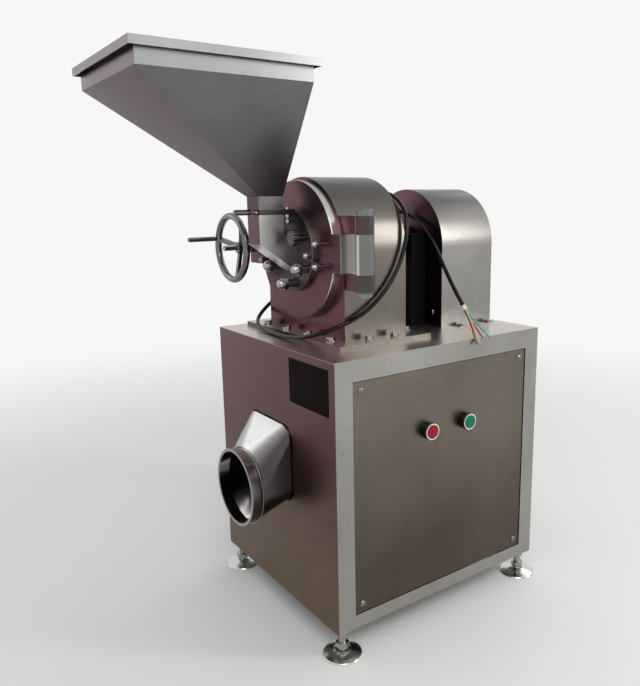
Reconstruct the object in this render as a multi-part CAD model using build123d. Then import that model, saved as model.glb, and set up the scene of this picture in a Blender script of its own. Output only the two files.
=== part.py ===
"""Powder mill on a cabinet: a toothed-disc mill with a swinging door, belt driven from below.

The script draws the mill round its shaft, which runs along Y at x = 0, with z = 0 on the floor,
the door and powder outlet facing -Y and the button panel facing +X. Each saved solid is moved
so that the middle of the whole mill stands on the origin.
"""
from build123d import *
from math import atan, cos, sin, tan, pi, radians, degrees, sqrt
import os

# Cabinet
CAB_WIDTH = 600.0
CAB_DEPTH = 700.0
CAB_HEIGHT = 686.0
CAB_X = 30.0
CAB_Y = 186.0
FOOT_HEIGHT = 70.0
TUBE = 50.0
TUBE_WALL = 3.0
LOW_RAIL_HEIGHT = 36.0
SKIN = 2.0
TOP_PLATE = 3.0
PANEL_GAP = 2.0
PANEL_RECESS = 2.0
PANEL_SCREW_INSET = 22.0
TAB_SIZE = 30.0
TAB_END = 14.0
TAB_THICK = 3.0
PANEL_SCREW_R = 4.0
PANEL_SCREW_HEAD_R = 8.5

# Feet
FOOT_R = 50.0
FOOT_DISC_HEIGHT = 14.0
FOOT_BOSS_R = 17.0
STUD_R = 10.0
STUD_NUT_AF = 30.0
STUD_NUT_HEIGHT = 14.0

# Blank rating plate on the front
PLATE_WIDTH = 176.0
PLATE_HEIGHT = 114.0
PLATE_THICK = 1.0
PLATE_X = 218.0
PLATE_DROP = 78.0

# Push buttons
BUTTON_DROP = 216.0
BUTTON_SPACING = 132.0
BUTTON_BEZEL_RIM = 5.0
BUTTON_BEZEL_DEPTH = 23.0
BUTTON_BEZEL_EDGE = 3.0
BUTTON_CAP_R = 18.0
BUTTON_CAP_LENGTH = 24.0
BUTTON_BARREL_WALL = 3.5
BUTTON_BARREL_LENGTH = 34.0
BUTTON_STEM_STEP = 4.5
BUTTON_WALL = 1.5
BUTTON_TRAVEL = 4.0
SLIDING_FIT = 0.08

# Mill shaft line and housing
SHAFT_HEIGHT = 232.0
BASE_PLATE_LEDGE = 52.0
BASE_PLATE_REAR_LEDGE = 44.0
BASE_PLATE_THICK = 12.0
HOUSING_R = 191.0
HOUSING_FRONT = -34.0
HOUSING_LENGTH = 198.0
HOUSING_WALL = 8.0
HOUSING_END_WALL = 12.0
MOUTH_LEDGE = 34.0
THROAT_WIDTH = 200.0
THROAT_FRONT_LEDGE = 30.0
THROAT_REAR_LEDGE = 58.0
SCREEN_THICK = 2.5
SCREEN_SLOT_COUNT = 40
SCREEN_SLOT_WIDTH = 7.0
REGISTER_DEPTH = 20.0
SEAT_GAP = 0.3

# Base bolts
BOLT_AF = 19.0
BOLT_HEAD = 8.0
BOLT_R = 6.0
WASHER_R = 12.0
WASHER_THICK = 2.5
BOLT_INSET_FRONT = 26.0
BOLT_INSET_REAR = 20.0
BOLT_INSET_SIDE = 26.0
BOLT_SPACING = 110.0

# Shaft, bearings and drive
ROTOR_SHAFT_R = 16.0
SHAFT_STEP = 1.5
RACE_THICK = 5.5
BEARING_THICK = 18.5
BEARING_WIDTH = 17.0
BEARING_BODY_WALL = 7.0
BEARING_FLANGE_LEDGE = 27.0
BEARING_FLANGE_THICK = 14.0
BEARING_BODY_LENGTH = 148.0
FRONT_BEARING_OFFSET = 20.0
SHAFT_HOLE_CLEAR = 1.5
BEARING_CAP = 8.0
SUPPORT_HALF = 92.0
SUPPORT_DEPTH = 52.0
SUPPORT_GAP = 3.0
SUPPORT_RISE = 32.0
SUPPORT_WALL = 6.0
SUPPORT_COLLAR_WALL = 9.0
NIPPLE_INSET = 18.0
NIPPLE_ANGLE = 35.0
PULLEY_SETBACK = 85.0
PULLEY_EDGE = 13.5
GROOVE_PITCH = 19.0
GROOVE_DEPTH = 12.0
MILL_PULLEY_R = 60.0
MOTOR_PULLEY_R = 79.0
BELT_COUNT = 2
BELT_TOP = 16.0
BELT_BOTTOM = 9.0
BELT_DEPTH = 10.0
BED_HEIGHT = 40.0
BED_WALL = 5.0
MOTOR_R = 125.0
MOTOR_CLEAR = 7.0
MOTOR_LENGTH = 370.0
MOTOR_PULLEY_GAP = 57.0
MOTOR_SHAFT_R = 19.0
MOTOR_ROTOR_R = 75.0
MOTOR_ROTOR_GAP = 1.5
MOTOR_HOOD = 84.0
MOTOR_HOOD_SHEET = 3.0
MOTOR_BELL = 50.0
MOTOR_BELL_R = 97.0
MOTOR_FIN_COUNT = 16
MOTOR_FIN_HEIGHT = 12.0
MOTOR_FIN_THICK = 5.0
MOTOR_FOOT_HALF = 108.0
MOTOR_FOOT_DEPTH = 44.0
MOTOR_FOOT_THICK = 14.0
MOTOR_LEG_HALF = 72.0
MOTOR_LEG_DEPTH = 32.0
MOTOR_FRONT_FOOT = 130.0
MOTOR_REAR_FOOT = 70.0
MOTOR_BOX_DEPTH = 96.0
MOTOR_BOX_HEIGHT = 88.0
MOTOR_BOX_REACH = 42.0
HOOD_VENT_COUNT = 8
HOOD_VENT_INNER = 28.0
HOOD_VENT_OUTER = 92.0
HOOD_VENT_WIDTH = 12.0

# Rotor and fixed disc
ROTOR_PLATE = 10.0
HAMMER_LENGTH = 88.0
HAMMER_COUNT = 8
HAMMER_THICK = 14.0
HAMMER_DEPTH = 26.0
HAMMER_REACH = 4.0
HAMMER_CLEAR = 10.2
FIXED_DISC_THICK = 12.0
FEED_HOLE_INSET = 14.0
TOOTH_LENGTH = 24.0
TOOTH_WIDTH = 12.0
TOOTH_TIP_GAP = 6.0
DISC_CLEAR = 7.0
ROW_PITCH = 22.0
TOOTH_COUNTS = (10, 12, 14, 16)

# Door and hinge
DOOR_INSET = 8.0
DOOR_THICK = 25.0
STRAP_HEIGHT = 96.0
STRAP_END = 33.0
STRAP_BLOCK = 18.0
HINGE_REACH = 67.0
HINGE_SETBACK = 15.0
HINGE_ARM = 22.0
HINGE_R = 23.0
PIN_R = 10.0
HINGE_GAP = 1.0
UPPER_KNUCKLE = 43.0
LOWER_KNUCKLE = 42.0
HINGE_PLATE = 24.0
KNUCKLE_WEB = 20.0
PIN_HEAD_R = 20.0
PIN_HEAD = 15.0
HINGE_NUT_AF = 24.0
HINGE_NUT = 11.0
FLANGE_R = 108.0
FLANGE_THICK = 14.0
FLANGE_BOLT_INSET = 22.0
ACORN_AF = 29.0
ACORN_NUT = 13.0
ACORN_DOME = 15.0
ACORN_STANDOFF = 15.0
SMALL_ACORN_NUT = 9.0
SMALL_ACORN_DOME = 8.5
SMALL_ACORN_AF = 17.0
SMALL_ACORN_INSET = 15.5
SMALL_ACORN_DROP = 8.0
DOOR_NUT_OFFSET = 32.0
DOOR_NUT_HEIGHTS = (-33.0, 23.0)
DOOR_NUT_STANDOFF = 18.0

# Clamp and handwheel
CLAMP_REACH = 34.0
SPINDLE_R = 8.0
SPINDLE_TIP = 18.0
SPINDLE_LENGTH = 144.0
LUG_HEIGHT = 44.0
LUG_DEPTH = 30.0
LUG_REACH = 62.0
LUG_CLEAR = 1.5
SLEEVE_R = 12.0
SLEEVE_HEAD_R = 16.5
SLEEVE_HEAD = 28.0
HUB_R = 16.0
HUB_LENGTH = 30.0
WHEEL_R = 90.0
WHEEL_TUBE_R = 10.0
WHEEL_DISH = 16.0
SPOKE_COUNT = 3
SPOKE_WIDTH = 14.0
SPOKE_THICK = 9.0
CRANK_ANGLE = 165.0
CRANK_AXLE_R = 4.0
CRANK_GRIP_R = 6.8
CRANK_GRIP_LENGTH = 80.0

# Star knob
STAR_ANGLE = 25.0
STAR_R = 20.0
STAR_THICK = 16.0
STAR_LOBES = 8
STAR_STANDOFF = 29.0
STAR_STUD_R = 5.0

# Feed chute, gate, spout and hopper
SPOUT_HALF = 31.0
SPOUT_STANDOFF = 36.0
SPOUT_DEPTH = 70.0
SPOUT_HEIGHT = 32.5
SHEET = 2.0
CHUTE_RISE = 95.5
CHUTE_FRONT_RISE = 24.0
CHUTE_MOUTH_RISE = 21.0
CHUTE_MOUTH_DROP = 50.0
CHUTE_BACK_RISE = 46.0
CHUTE_LIP = 3.0
GATE_PLATE = 3.0
GATE_SLOT = 7.0
GATE_EDGE = 5.0
GATE_REAR_GAP = 3.0
GATE_BLADE = 5.0
GATE_LIP = 7.0
GRIP_R = 7.0
GRIP_LENGTH = 44.0
GATE_BOLT_X = 22.0
GATE_BOLT_SETBACK = 16.0
GATE_BOLT_AF = 13.0
GATE_BOLT_HEAD = 5.5
GATE_BOLT_NUT = 7.0
GATE_BOLT_LENGTH = 24.0
HOPPER_RISE = 253.0
COLLAR_HEIGHT = 51.5
RIM_DEPTH = 18.0
RIM_WIDTH = 15.0
RIM_SHEET = 2.0
HOPPER_HALF = 192.0
HOPPER_DEPTH = 412.0
HOPPER_SETBACK = 1.0

# Belt cover
COVER_R = 158.0
COVER_GAP = 5.0
COVER_DEPTH = 198.0
COVER_SHEET = 2.0
COVER_TAB = 28.0
COVER_TAB_FRONT = 61.0
COVER_TAB_REAR = 27.0
COVER_SCREW_X = 118.0
COVER_SCREW_RISE = 41.0
BELT_SLOT_HALF = 110.0
BELT_SLOT_MARGIN = 4.0

# Powder outlet
DUCT_X = 20.0
DUCT_DROP = 308.0
DUCT_WIDTH = 220.0
DUCT_HEIGHT = 205.0
DUCT_CORNER = 40.0
DUCT_WALL = 2.5
DUCT_GAP = 3.0
DUCT_INSET = 12.0
OUTLET_X = 22.0
OUTLET_FALL = 66.0
OUTLET_R = 98.0
OUTLET_WALL = 3.0
OUTLET_LIP_WIDTH = 5.0
OUTLET_LIP = 3.5
OUTLET_TUBE = 30.0
OUTLET_REACH = 113.0
CHUTE_SIDE = 2.0
CHUTE_SHOULDER = 110.0

# Mains cable
CABLE_R = 5.5
CORE_R = 2.2
CORE_SPREAD = 2.25
CORE_EXIT = 22.0
GLAND_X = -196.0
GLAND_Y = 240.0
GLAND_AF = 24.0
GLAND_BASE = 6.0
GLAND_TAPER = 24.0

# Derived places of the cabinet
CAB_TOP = FOOT_HEIGHT + CAB_HEIGHT
CAB_LEFT = CAB_X - CAB_WIDTH / 2
CAB_RIGHT = CAB_X + CAB_WIDTH / 2
CAB_FRONT = CAB_Y - CAB_DEPTH / 2
CAB_REAR = CAB_Y + CAB_DEPTH / 2
FRAME_FRONT = CAB_FRONT + SKIN
TUBE_TOP = CAB_TOP - TOP_PLATE
TAB_REACH = PANEL_GAP + PANEL_SCREW_INSET + TAB_END
FOOT_INSET = TUBE / 2
PLATE_Z = CAB_TOP - PLATE_DROP
BUTTON_Z = CAB_TOP - BUTTON_DROP
BUTTON_BEZEL_R = BUTTON_CAP_R + BUTTON_BEZEL_RIM
BUTTON_STEM_R = BUTTON_CAP_R - BUTTON_STEM_STEP
BUTTON_BARREL_R = BUTTON_STEM_R + BUTTON_BARREL_WALL

# Derived places of the mill
BASE_TOP = CAB_TOP + BASE_PLATE_THICK
SHAFT_Z = CAB_TOP + SHAFT_HEIGHT
HOUSING_REAR = HOUSING_FRONT + HOUSING_LENGTH
BASE_PLATE_HALF = HOUSING_R + BASE_PLATE_LEDGE
BASE_PLATE_FRONT = HOUSING_FRONT - BASE_PLATE_LEDGE
BASE_PLATE_REAR = HOUSING_REAR + BASE_PLATE_REAR_LEDGE
CHAMBER_MOUTH_R = HOUSING_R - MOUTH_LEDGE
CHAMBER_REAR = HOUSING_REAR - HOUSING_END_WALL
SCREEN_R = CHAMBER_MOUTH_R - SEAT_GAP
THROAT_FRONT = HOUSING_FRONT + THROAT_FRONT_LEDGE
THROAT_REAR = HOUSING_REAR - THROAT_REAR_LEDGE
ROTOR_FRONT = HOUSING_FRONT + FIXED_DISC_THICK + TOOTH_LENGTH + TOOTH_TIP_GAP
ROTOR_R = SCREEN_R - SCREEN_THICK - HAMMER_CLEAR - HAMMER_REACH
FIXED_DISC_R = CHAMBER_MOUTH_R - DISC_CLEAR
OUTER_ROW_R = FIXED_DISC_R - TOOTH_WIDTH
FIRST_ROW_R = OUTER_ROW_R - (len(TOOTH_COUNTS) - 1) * ROW_PITCH
FEED_HOLE_R = FIRST_ROW_R - FEED_HOLE_INSET

# Derived places of the bearings and drive
BEARING_BORE_R = ROTOR_SHAFT_R + SHAFT_STEP
INNER_RACE_R = BEARING_BORE_R + RACE_THICK
BEARING_R = BEARING_BORE_R + BEARING_THICK
BEARING_BODY_R = BEARING_R + BEARING_BODY_WALL
BEARING_FLANGE_R = BEARING_BODY_R + BEARING_FLANGE_LEDGE
BEARING_END = HOUSING_REAR + BEARING_BODY_LENGTH
BEARING_YS = (
    HOUSING_REAR + FRONT_BEARING_OFFSET,
    BEARING_END - FRONT_BEARING_OFFSET - BEARING_WIDTH,
)
PULLEY_SHAFT_R = ROTOR_SHAFT_R - 2.0
PULLEY_WIDTH = (BELT_COUNT - 1) * GROOVE_PITCH + 2 * PULLEY_EDGE
COVER_FRONT = BEARING_END + BEARING_CAP + COVER_GAP
COVER_REAR = COVER_FRONT + COVER_DEPTH
COVER_TAB_YS = (COVER_FRONT + COVER_TAB_FRONT, COVER_REAR - COVER_TAB_REAR)
SUPPORT_REAR = COVER_FRONT - SUPPORT_GAP
SUPPORT_FRONT = SUPPORT_REAR - SUPPORT_DEPTH
SUPPORT_TOP = SHAFT_Z + SUPPORT_RISE
SUPPORT_COLLAR_R = BEARING_BODY_R + SUPPORT_COLLAR_WALL
NIPPLE_Y = SUPPORT_REAR - NIPPLE_INSET
PULLEY_Y = COVER_FRONT + PULLEY_SETBACK
BED_LOW = FOOT_HEIGHT + LOW_RAIL_HEIGHT
BED_TOP = BED_LOW + BED_HEIGHT
MOTOR_Z = BED_TOP + MOTOR_R + MOTOR_CLEAR
MOTOR_REAR = PULLEY_Y - PULLEY_WIDTH / 2 - MOTOR_PULLEY_GAP
MOTOR_FRONT = MOTOR_REAR - MOTOR_LENGTH
MOTOR_FOOT_YS = (MOTOR_FRONT + MOTOR_FRONT_FOOT, MOTOR_REAR - MOTOR_REAR_FOOT)

# Derived places of the door, clamp and hopper
DOOR_BACK = HOUSING_FRONT
DOOR_FRONT = DOOR_BACK - DOOR_THICK
DOOR_R = HOUSING_R - DOOR_INSET
FLANGE_FRONT = DOOR_FRONT - FLANGE_THICK
FLANGE_BOLT_R = FLANGE_R - FLANGE_BOLT_INSET
SMALL_ACORN_X = FLANGE_R - SMALL_ACORN_INSET
DOOR_NUT_X = FLANGE_R + DOOR_NUT_OFFSET
HINGE_X = HOUSING_R + HINGE_REACH
HINGE_Y = HOUSING_FRONT + HINGE_SETBACK
CLAMP_X = -HOUSING_R - CLAMP_REACH
STRAP_LOW = SHAFT_Z - STRAP_HEIGHT / 2
STRAP_HIGH = SHAFT_Z + STRAP_HEIGHT / 2
STRAP_LEFT = CLAMP_X - STRAP_END
STRAP_RIGHT = HINGE_X - HINGE_R - HINGE_ARM
SPOUT_REAR = FLANGE_FRONT - SPOUT_STANDOFF
SPOUT_FRONT = SPOUT_REAR - SPOUT_DEPTH
CHUTE_TOP = SHAFT_Z + CHUTE_RISE
CHUTE_FRONT_FOOT = SHAFT_Z + CHUTE_FRONT_RISE
CHUTE_MOUTH_TOP = SHAFT_Z + CHUTE_MOUTH_RISE
CHUTE_MOUTH_FOOT = SHAFT_Z - CHUTE_MOUTH_DROP
CHUTE_BACK_FOOT = SHAFT_Z + CHUTE_BACK_RISE
SLOT_LOW = CHUTE_TOP + GATE_PLATE
SLOT_HIGH = SLOT_LOW + GATE_SLOT
GATE_TOP = SLOT_HIGH + GATE_PLATE
GATE_HALF = SPOUT_HALF + GATE_EDGE
GATE_REAR = FLANGE_FRONT - GATE_REAR_GAP
GATE_BOLT_Y = SPOUT_REAR + GATE_BOLT_SETBACK
BLADE_LOW = SLOT_LOW + (GATE_SLOT - GATE_BLADE) / 2
GRIP_Z = BLADE_LOW + GATE_BLADE / 2
SPOUT_TOP = GATE_TOP + SPOUT_HEIGHT
COLLAR_FOOT = SPOUT_TOP + HOPPER_RISE
RIM_TOP = COLLAR_FOOT + COLLAR_HEIGHT
HOPPER_REAR = SPOUT_REAR - HOPPER_SETBACK
HOPPER_FRONT = HOPPER_REAR - HOPPER_DEPTH

# Derived places of the outlet, and the middle of the whole mill
DUCT_Z = CAB_TOP - DUCT_DROP
OUTLET_Z = DUCT_Z - OUTLET_FALL
OUTLET_FRONT = CAB_FRONT - OUTLET_REACH
OUTLET_LIP_R = OUTLET_R + OUTLET_LIP_WIDTH
GLAND_TOP = CAB_TOP + GLAND_BASE + GLAND_TAPER
FOOT_OVERHANG = FOOT_R - FOOT_INSET
MIDDLE_X = (CLAMP_X - WHEEL_R - WHEEL_TUBE_R + CAB_RIGHT + FOOT_OVERHANG) / 2
MIDDLE_Y = (HOPPER_FRONT - RIM_WIDTH + CAB_REAR + FOOT_OVERHANG) / 2


def block(x0, x1, y0, y1, z0, z1):
    """A rectangular solid between two corners."""
    centre = Pos((x0 + x1) / 2, (y0 + y1) / 2, (z0 + z1) / 2)
    return centre * Box(x1 - x0, y1 - y0, z1 - z0)


def rod(x, z, y0, y1, r):
    """A cylinder along Y."""
    return Plane((x, y0, z), x_dir=(1, 0, 0), z_dir=(0, 1, 0)) * Cylinder(
        r, y1 - y0, align=(Align.CENTER, Align.CENTER, Align.MIN)
    )


def post(x, y, z0, z1, r):
    """A cylinder along Z."""
    return Pos(x, y, z0) * Cylinder(r, z1 - z0, align=(Align.CENTER, Align.CENTER, Align.MIN))


def hexagon(flats):
    return RegularPolygon(flats / sqrt(3), 6)


def upright_hex(x, y, z0, z1, flats):
    """A hexagonal prism along Z."""
    return Pos(x, y, z0) * extrude(hexagon(flats), z1 - z0)


def facing_front(x, y, z):
    """A plane whose normal points out of the front, towards -Y."""
    return Plane((x, y, z), x_dir=(1, 0, 0), z_dir=(0, -1, 0))


def facing_right(x, y, z):
    """A plane whose normal points out of the right side, towards +X."""
    return Plane((x, y, z), x_dir=(0, 1, 0), z_dir=(1, 0, 0))


def turned(points):
    """A solid turned about Z from an outline of (radius, height) points."""
    outline = make_face(Polyline([(r, 0, h) for r, h in points], close=True))
    return revolve(outline, Axis.Z)


def side_profile(points, x0, x1):
    """A plate or prism between x0 and x1 from an outline of (y, z) points."""
    outline = make_face(Polyline([(x0, y, z) for y, z in points], close=True))
    return extrude(outline, x1 - x0, dir=(1, 0, 0))


def arch(half, y0, y1, foot, centre_z):
    """A solid with upright sides and a half-round top, running along Y."""
    outline = make_face(
        [
            Line((-half, y0, foot), (half, y0, foot)),
            Line((half, y0, foot), (half, y0, centre_z)),
            ThreePointArc((half, y0, centre_z), (0, y0, centre_z + half), (-half, y0, centre_z)),
            Line((-half, y0, centre_z), (-half, y0, foot)),
        ]
    )
    return extrude(outline, y1 - y0, dir=(0, 1, 0))


def save(node, *solids):
    """Write one named sub-part as its own file, moved to the frame of the whole mill."""
    flat = []
    for item in solids:
        flat.extend((Pos(-MIDDLE_X, -MIDDLE_Y, 0) * item).solids())
    shape = flat[0] if len(flat) == 1 else Compound(children=flat)
    export_step(shape, f"parts/{node}.step")


def corner_signs():
    return [(sx, sy) for sx in (-1, 1) for sy in (-1, 1)]


# Cabinet frame, panels and feet
def square_tube(x0, x1, y0, y1, z0, z1, along):
    """An open-ended rectangular tube along one axis."""
    outer = block(x0, x1, y0, y1, z0, z1)
    w = TUBE_WALL
    if along == "X":
        return outer - block(x0, x1, y0 + w, y1 - w, z0 + w, z1 - w)
    return outer - block(x0 + w, x1 - w, y0, y1, z0 + w, z1 - w)


def screw_heights():
    low = FOOT_HEIGHT + LOW_RAIL_HEIGHT + PANEL_GAP + PANEL_SCREW_INSET
    high = TUBE_TOP - TUBE - PANEL_GAP - PANEL_SCREW_INSET
    return low, high


def screw_reach(half):
    """How far from the middle of a face its panel screws lie."""
    return half - TUBE - PANEL_GAP - PANEL_SCREW_INSET


def panel_tab(distance, half, side, z):
    """A fixing tab behind a panel that faces +X, before it is turned to its own side."""
    outer = distance - PANEL_RECESS - SKIN
    inner_edge = half - TUBE
    y0, y1 = sorted((side * inner_edge, side * (inner_edge - TAB_REACH)))
    tab = block(outer - TAB_THICK, outer, y0, y1, z - TAB_SIZE / 2, z + TAB_SIZE / 2)
    hole = facing_right(0, side * screw_reach(half), z) * Cylinder(PANEL_SCREW_R + SEAT_GAP, 4 * distance)
    return tab - hole


def panel_sides():
    """The three inset panels: turn about Z, centre, distance to the face, half width."""
    mid_y = (FRAME_FRONT + CAB_REAR) / 2
    half_y = (CAB_REAR - FRAME_FRONT) / 2
    centre = Pos(CAB_X, mid_y, 0)
    right = (centre, CAB_WIDTH / 2, half_y)
    left = (centre * Rot(0, 0, 180), CAB_WIDTH / 2, half_y)
    rear = (centre * Rot(0, 0, 90), half_y, CAB_WIDTH / 2)
    return {"right": right, "left": left, "rear": rear}


def cabinet_frame():
    foot_plate = TUBE_WALL * 2
    mid_y = (FRAME_FRONT + CAB_REAR) / 2
    half_y = (CAB_REAR - FRAME_FRONT) / 2
    base = (Align.CENTER, Align.CENTER, Align.MIN)
    hollow = TUBE - 2 * TUBE_WALL
    posts = []
    for sx, sy in corner_signs():
        tube = Box(TUBE, TUBE, TUBE_TOP - FOOT_HEIGHT, align=base)
        tube -= Pos(0, 0, foot_plate) * Box(hollow, hollow, CAB_HEIGHT, align=base)
        tube -= Cylinder(STUD_R + SEAT_GAP, 4 * foot_plate)
        x = CAB_X + sx * (CAB_WIDTH / 2 - TUBE / 2)
        y = mid_y + sy * (half_y - TUBE / 2)
        solid = Pos(x, y, FOOT_HEIGHT) * tube
        for place, distance, half in panel_sides().values():
            for side in (-1, 1):
                for z in screw_heights():
                    tab = place * panel_tab(distance, half, side, z)
                    middle = tab.bounding_box().center()
                    if abs(middle.X - x) < TUBE and abs(middle.Y - y) < TUBE:
                        solid += tab
        posts.append(solid)
    rails = []
    inner_x = CAB_WIDTH / 2 - TUBE
    inner_y = half_y - TUBE
    for low, high in ((FOOT_HEIGHT, FOOT_HEIGHT + LOW_RAIL_HEIGHT), (TUBE_TOP - TUBE, TUBE_TOP)):
        for side in (-1, 1):
            y0, y1 = sorted((mid_y + side * half_y, mid_y + side * inner_y))
            rails.append(square_tube(CAB_X - inner_x, CAB_X + inner_x, y0, y1, low, high, "X"))
            x0, x1 = sorted((CAB_X + side * CAB_WIDTH / 2, CAB_X + side * inner_x))
            rails.append(square_tube(x0, x1, mid_y - inner_y, mid_y + inner_y, low, high, "Y"))
    save("cabinet_posts", *posts)
    save("cabinet_rails", *rails)


def cabinet_panels():
    low = FOOT_HEIGHT + LOW_RAIL_HEIGHT + PANEL_GAP
    high = TUBE_TOP - TUBE - PANEL_GAP
    screws = []
    for name, (place, distance, half) in panel_sides().items():
        edge = half - TUBE - PANEL_GAP
        outer = distance - PANEL_RECESS
        sheet = block(outer - SKIN, outer, -edge, edge, low, high)
        for side in (-1, 1):
            for z in screw_heights():
                y = side * screw_reach(half)
                sheet -= facing_right(outer, y, z) * Cylinder(PANEL_SCREW_R + SEAT_GAP, 4 * SKIN)
                screws.append(place * (facing_right(outer, y, z) * dome_screw()))
        sheet = place * sheet
        if name == "right":
            for y in button_places():
                sheet -= facing_right(CAB_RIGHT, y, BUTTON_Z) * Cylinder(
                    BUTTON_BARREL_R + SLIDING_FIT, 8 * SKIN
                )
        if name == "rear":
            sheet = with_vents(sheet, low, high)
        save(f"{name}_panel", sheet)
    front = block(CAB_LEFT, CAB_RIGHT, CAB_FRONT, FRAME_FRONT, FOOT_HEIGHT, TUBE_TOP)
    opening = RectangleRounded(DUCT_WIDTH + 2 * DUCT_GAP, DUCT_HEIGHT + 2 * DUCT_GAP, DUCT_CORNER)
    cut = extrude(opening, 2 * SKIN, both=True)
    front -= facing_front(DUCT_X, CAB_FRONT, DUCT_Z) * cut
    save("front_panel", front)
    return screws


def with_vents(sheet, low, high):
    """Two columns of plain cooling slots in the rear panel."""
    count = 7
    pitch = 24.0
    slot_length = 110.0
    slot_height = 7.0
    first = (low + high) / 2 - pitch * (count - 1) / 2 - 120.0
    for side in (-1, 1):
        for i in range(count):
            slot = RectangleRounded(slot_length, slot_height, slot_height / 2 - 0.1)
            place = facing_front(CAB_X + side * 105.0, CAB_REAR, first + i * pitch)
            sheet -= place * extrude(slot, 4 * SKIN, both=True)
    return sheet


def dome_screw(shank=12.0):
    """A domed head above its seat and a plain shank below it."""
    r = PANEL_SCREW_HEAD_R
    head = 5.0
    return turned(
        [
            (0, -shank), (PANEL_SCREW_R, -shank), (PANEL_SCREW_R, 0), (r, 0),
            (r, 1.2), (0.8 * r, 0.65 * head), (0.45 * r, 0.93 * head), (0, head),
        ]
    )


def cabinet_top():
    sheet = block(CAB_LEFT, CAB_RIGHT, CAB_FRONT, CAB_REAR, TUBE_TOP, CAB_TOP)
    half = THROAT_WIDTH / 2
    sheet -= block(-half, half, THROAT_FRONT, THROAT_REAR, TUBE_TOP - 1, CAB_TOP + 1)
    slot_y = PULLEY_WIDTH / 2 + BELT_SLOT_MARGIN
    sheet -= block(
        -BELT_SLOT_HALF, BELT_SLOT_HALF, PULLEY_Y - slot_y, PULLEY_Y + slot_y, TUBE_TOP - 1, CAB_TOP + 1
    )
    for x, y in base_bolt_places():
        sheet -= post(x, y, TUBE_TOP - 1, CAB_TOP + 1, BOLT_R + SEAT_GAP)
    for x, y in cover_tab_places():
        sheet -= post(x, y, TUBE_TOP - 1, CAB_TOP + 1, PANEL_SCREW_R + SEAT_GAP)
    sheet -= post(GLAND_X, GLAND_Y, TUBE_TOP - 1, CAB_TOP + 1, CABLE_R + 1.0)
    save("cabinet_top", sheet)


def feet():
    discs = []
    studs = []
    mid_y = (FRAME_FRONT + CAB_REAR) / 2
    for sx, sy in corner_signs():
        x = CAB_X + sx * (CAB_WIDTH / 2 - FOOT_INSET)
        y = mid_y + sy * ((CAB_REAR - FRAME_FRONT) / 2 - FOOT_INSET)
        disc = turned(
            [
                (0, 0), (FOOT_R - 2.0, 0), (FOOT_R, 2.0), (FOOT_R - 1.5, 4.0), (0.78 * FOOT_R, 7.0),
                (0.5 * FOOT_R, 10.5), (FOOT_BOSS_R, FOOT_DISC_HEIGHT), (0, FOOT_DISC_HEIGHT),
            ]
        )
        discs.append(Pos(x, y, 0) * disc)
        top = FOOT_HEIGHT + 4 * TUBE_WALL
        stud = post(x, y, FOOT_DISC_HEIGHT, top, STUD_R)
        flat = FOOT_DISC_HEIGHT + 5.0
        stud += upright_hex(x, y, flat, flat + STUD_NUT_HEIGHT, STUD_NUT_AF)
        stud += upright_hex(x, y, FOOT_HEIGHT - STUD_NUT_HEIGHT, FOOT_HEIGHT, STUD_NUT_AF)
        studs.append(stud)
    save("foot_discs", *discs)
    save("foot_studs", *studs)


def rating_plate():
    half_w = PLATE_WIDTH / 2
    half_h = PLATE_HEIGHT / 2
    plate = block(
        PLATE_X - half_w, PLATE_X + half_w,
        CAB_FRONT - PLATE_THICK, CAB_FRONT,
        PLATE_Z - half_h, PLATE_Z + half_h,
    )
    save("rating_plate", plate)


# Push buttons
def button_places():
    return CAB_Y - BUTTON_SPACING / 2, CAB_Y + BUTTON_SPACING / 2


def buttons():
    face = CAB_RIGHT - PANEL_RECESS
    wall = BUTTON_WALL
    holders = []
    caps = {}
    stem_end = BUTTON_BARREL_LENGTH - wall - BUTTON_TRAVEL - 1.0
    under_cap = BUTTON_TRAVEL + 1.0
    for name, y in zip(("stop_button", "start_button"), button_places()):
        bezel_bore = BUTTON_CAP_R + SLIDING_FIT
        barrel_bore = BUTTON_STEM_R + SLIDING_FIT
        end = BUTTON_BARREL_LENGTH
        holder = turned(
            [
                (0, -end), (BUTTON_BARREL_R, -end), (BUTTON_BARREL_R, 0), (BUTTON_BEZEL_R, 0),
                (BUTTON_BEZEL_R, BUTTON_BEZEL_DEPTH - BUTTON_BEZEL_EDGE),
                (BUTTON_BEZEL_R - wall, BUTTON_BEZEL_DEPTH),
                (bezel_bore, BUTTON_BEZEL_DEPTH), (bezel_bore, SEAT_GAP), (barrel_bore, SEAT_GAP),
                (barrel_bore, wall - end), (0, wall - end),
            ]
        )
        cap = turned(
            [
                (0, -stem_end), (BUTTON_STEM_R, -stem_end), (BUTTON_STEM_R, under_cap),
                (BUTTON_CAP_R, under_cap), (BUTTON_CAP_R, BUTTON_CAP_LENGTH),
                (BUTTON_CAP_R - 1.5, BUTTON_CAP_LENGTH + 1.5), (0, BUTTON_CAP_LENGTH + 2.5),
            ]
        )
        place = facing_right(face, y, BUTTON_Z)
        holders.append(place * holder)
        caps[name] = place * cap
    save("button_holders", *holders)
    for name, cap in caps.items():
        save(name, cap)


# Base plate, housing and screen
def base_bolt_places():
    front = BASE_PLATE_FRONT + BOLT_INSET_FRONT
    rear = BASE_PLATE_REAR - BOLT_INSET_REAR
    half = BASE_PLATE_HALF - BOLT_INSET_SIDE
    places = [((i - 1.5) * BOLT_SPACING, y) for y in (front, rear) for i in range(4)]
    third = (rear - front) / 3
    places += [(side * half, front + k * third) for side in (-1, 1) for k in (1, 2)]
    return places


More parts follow.
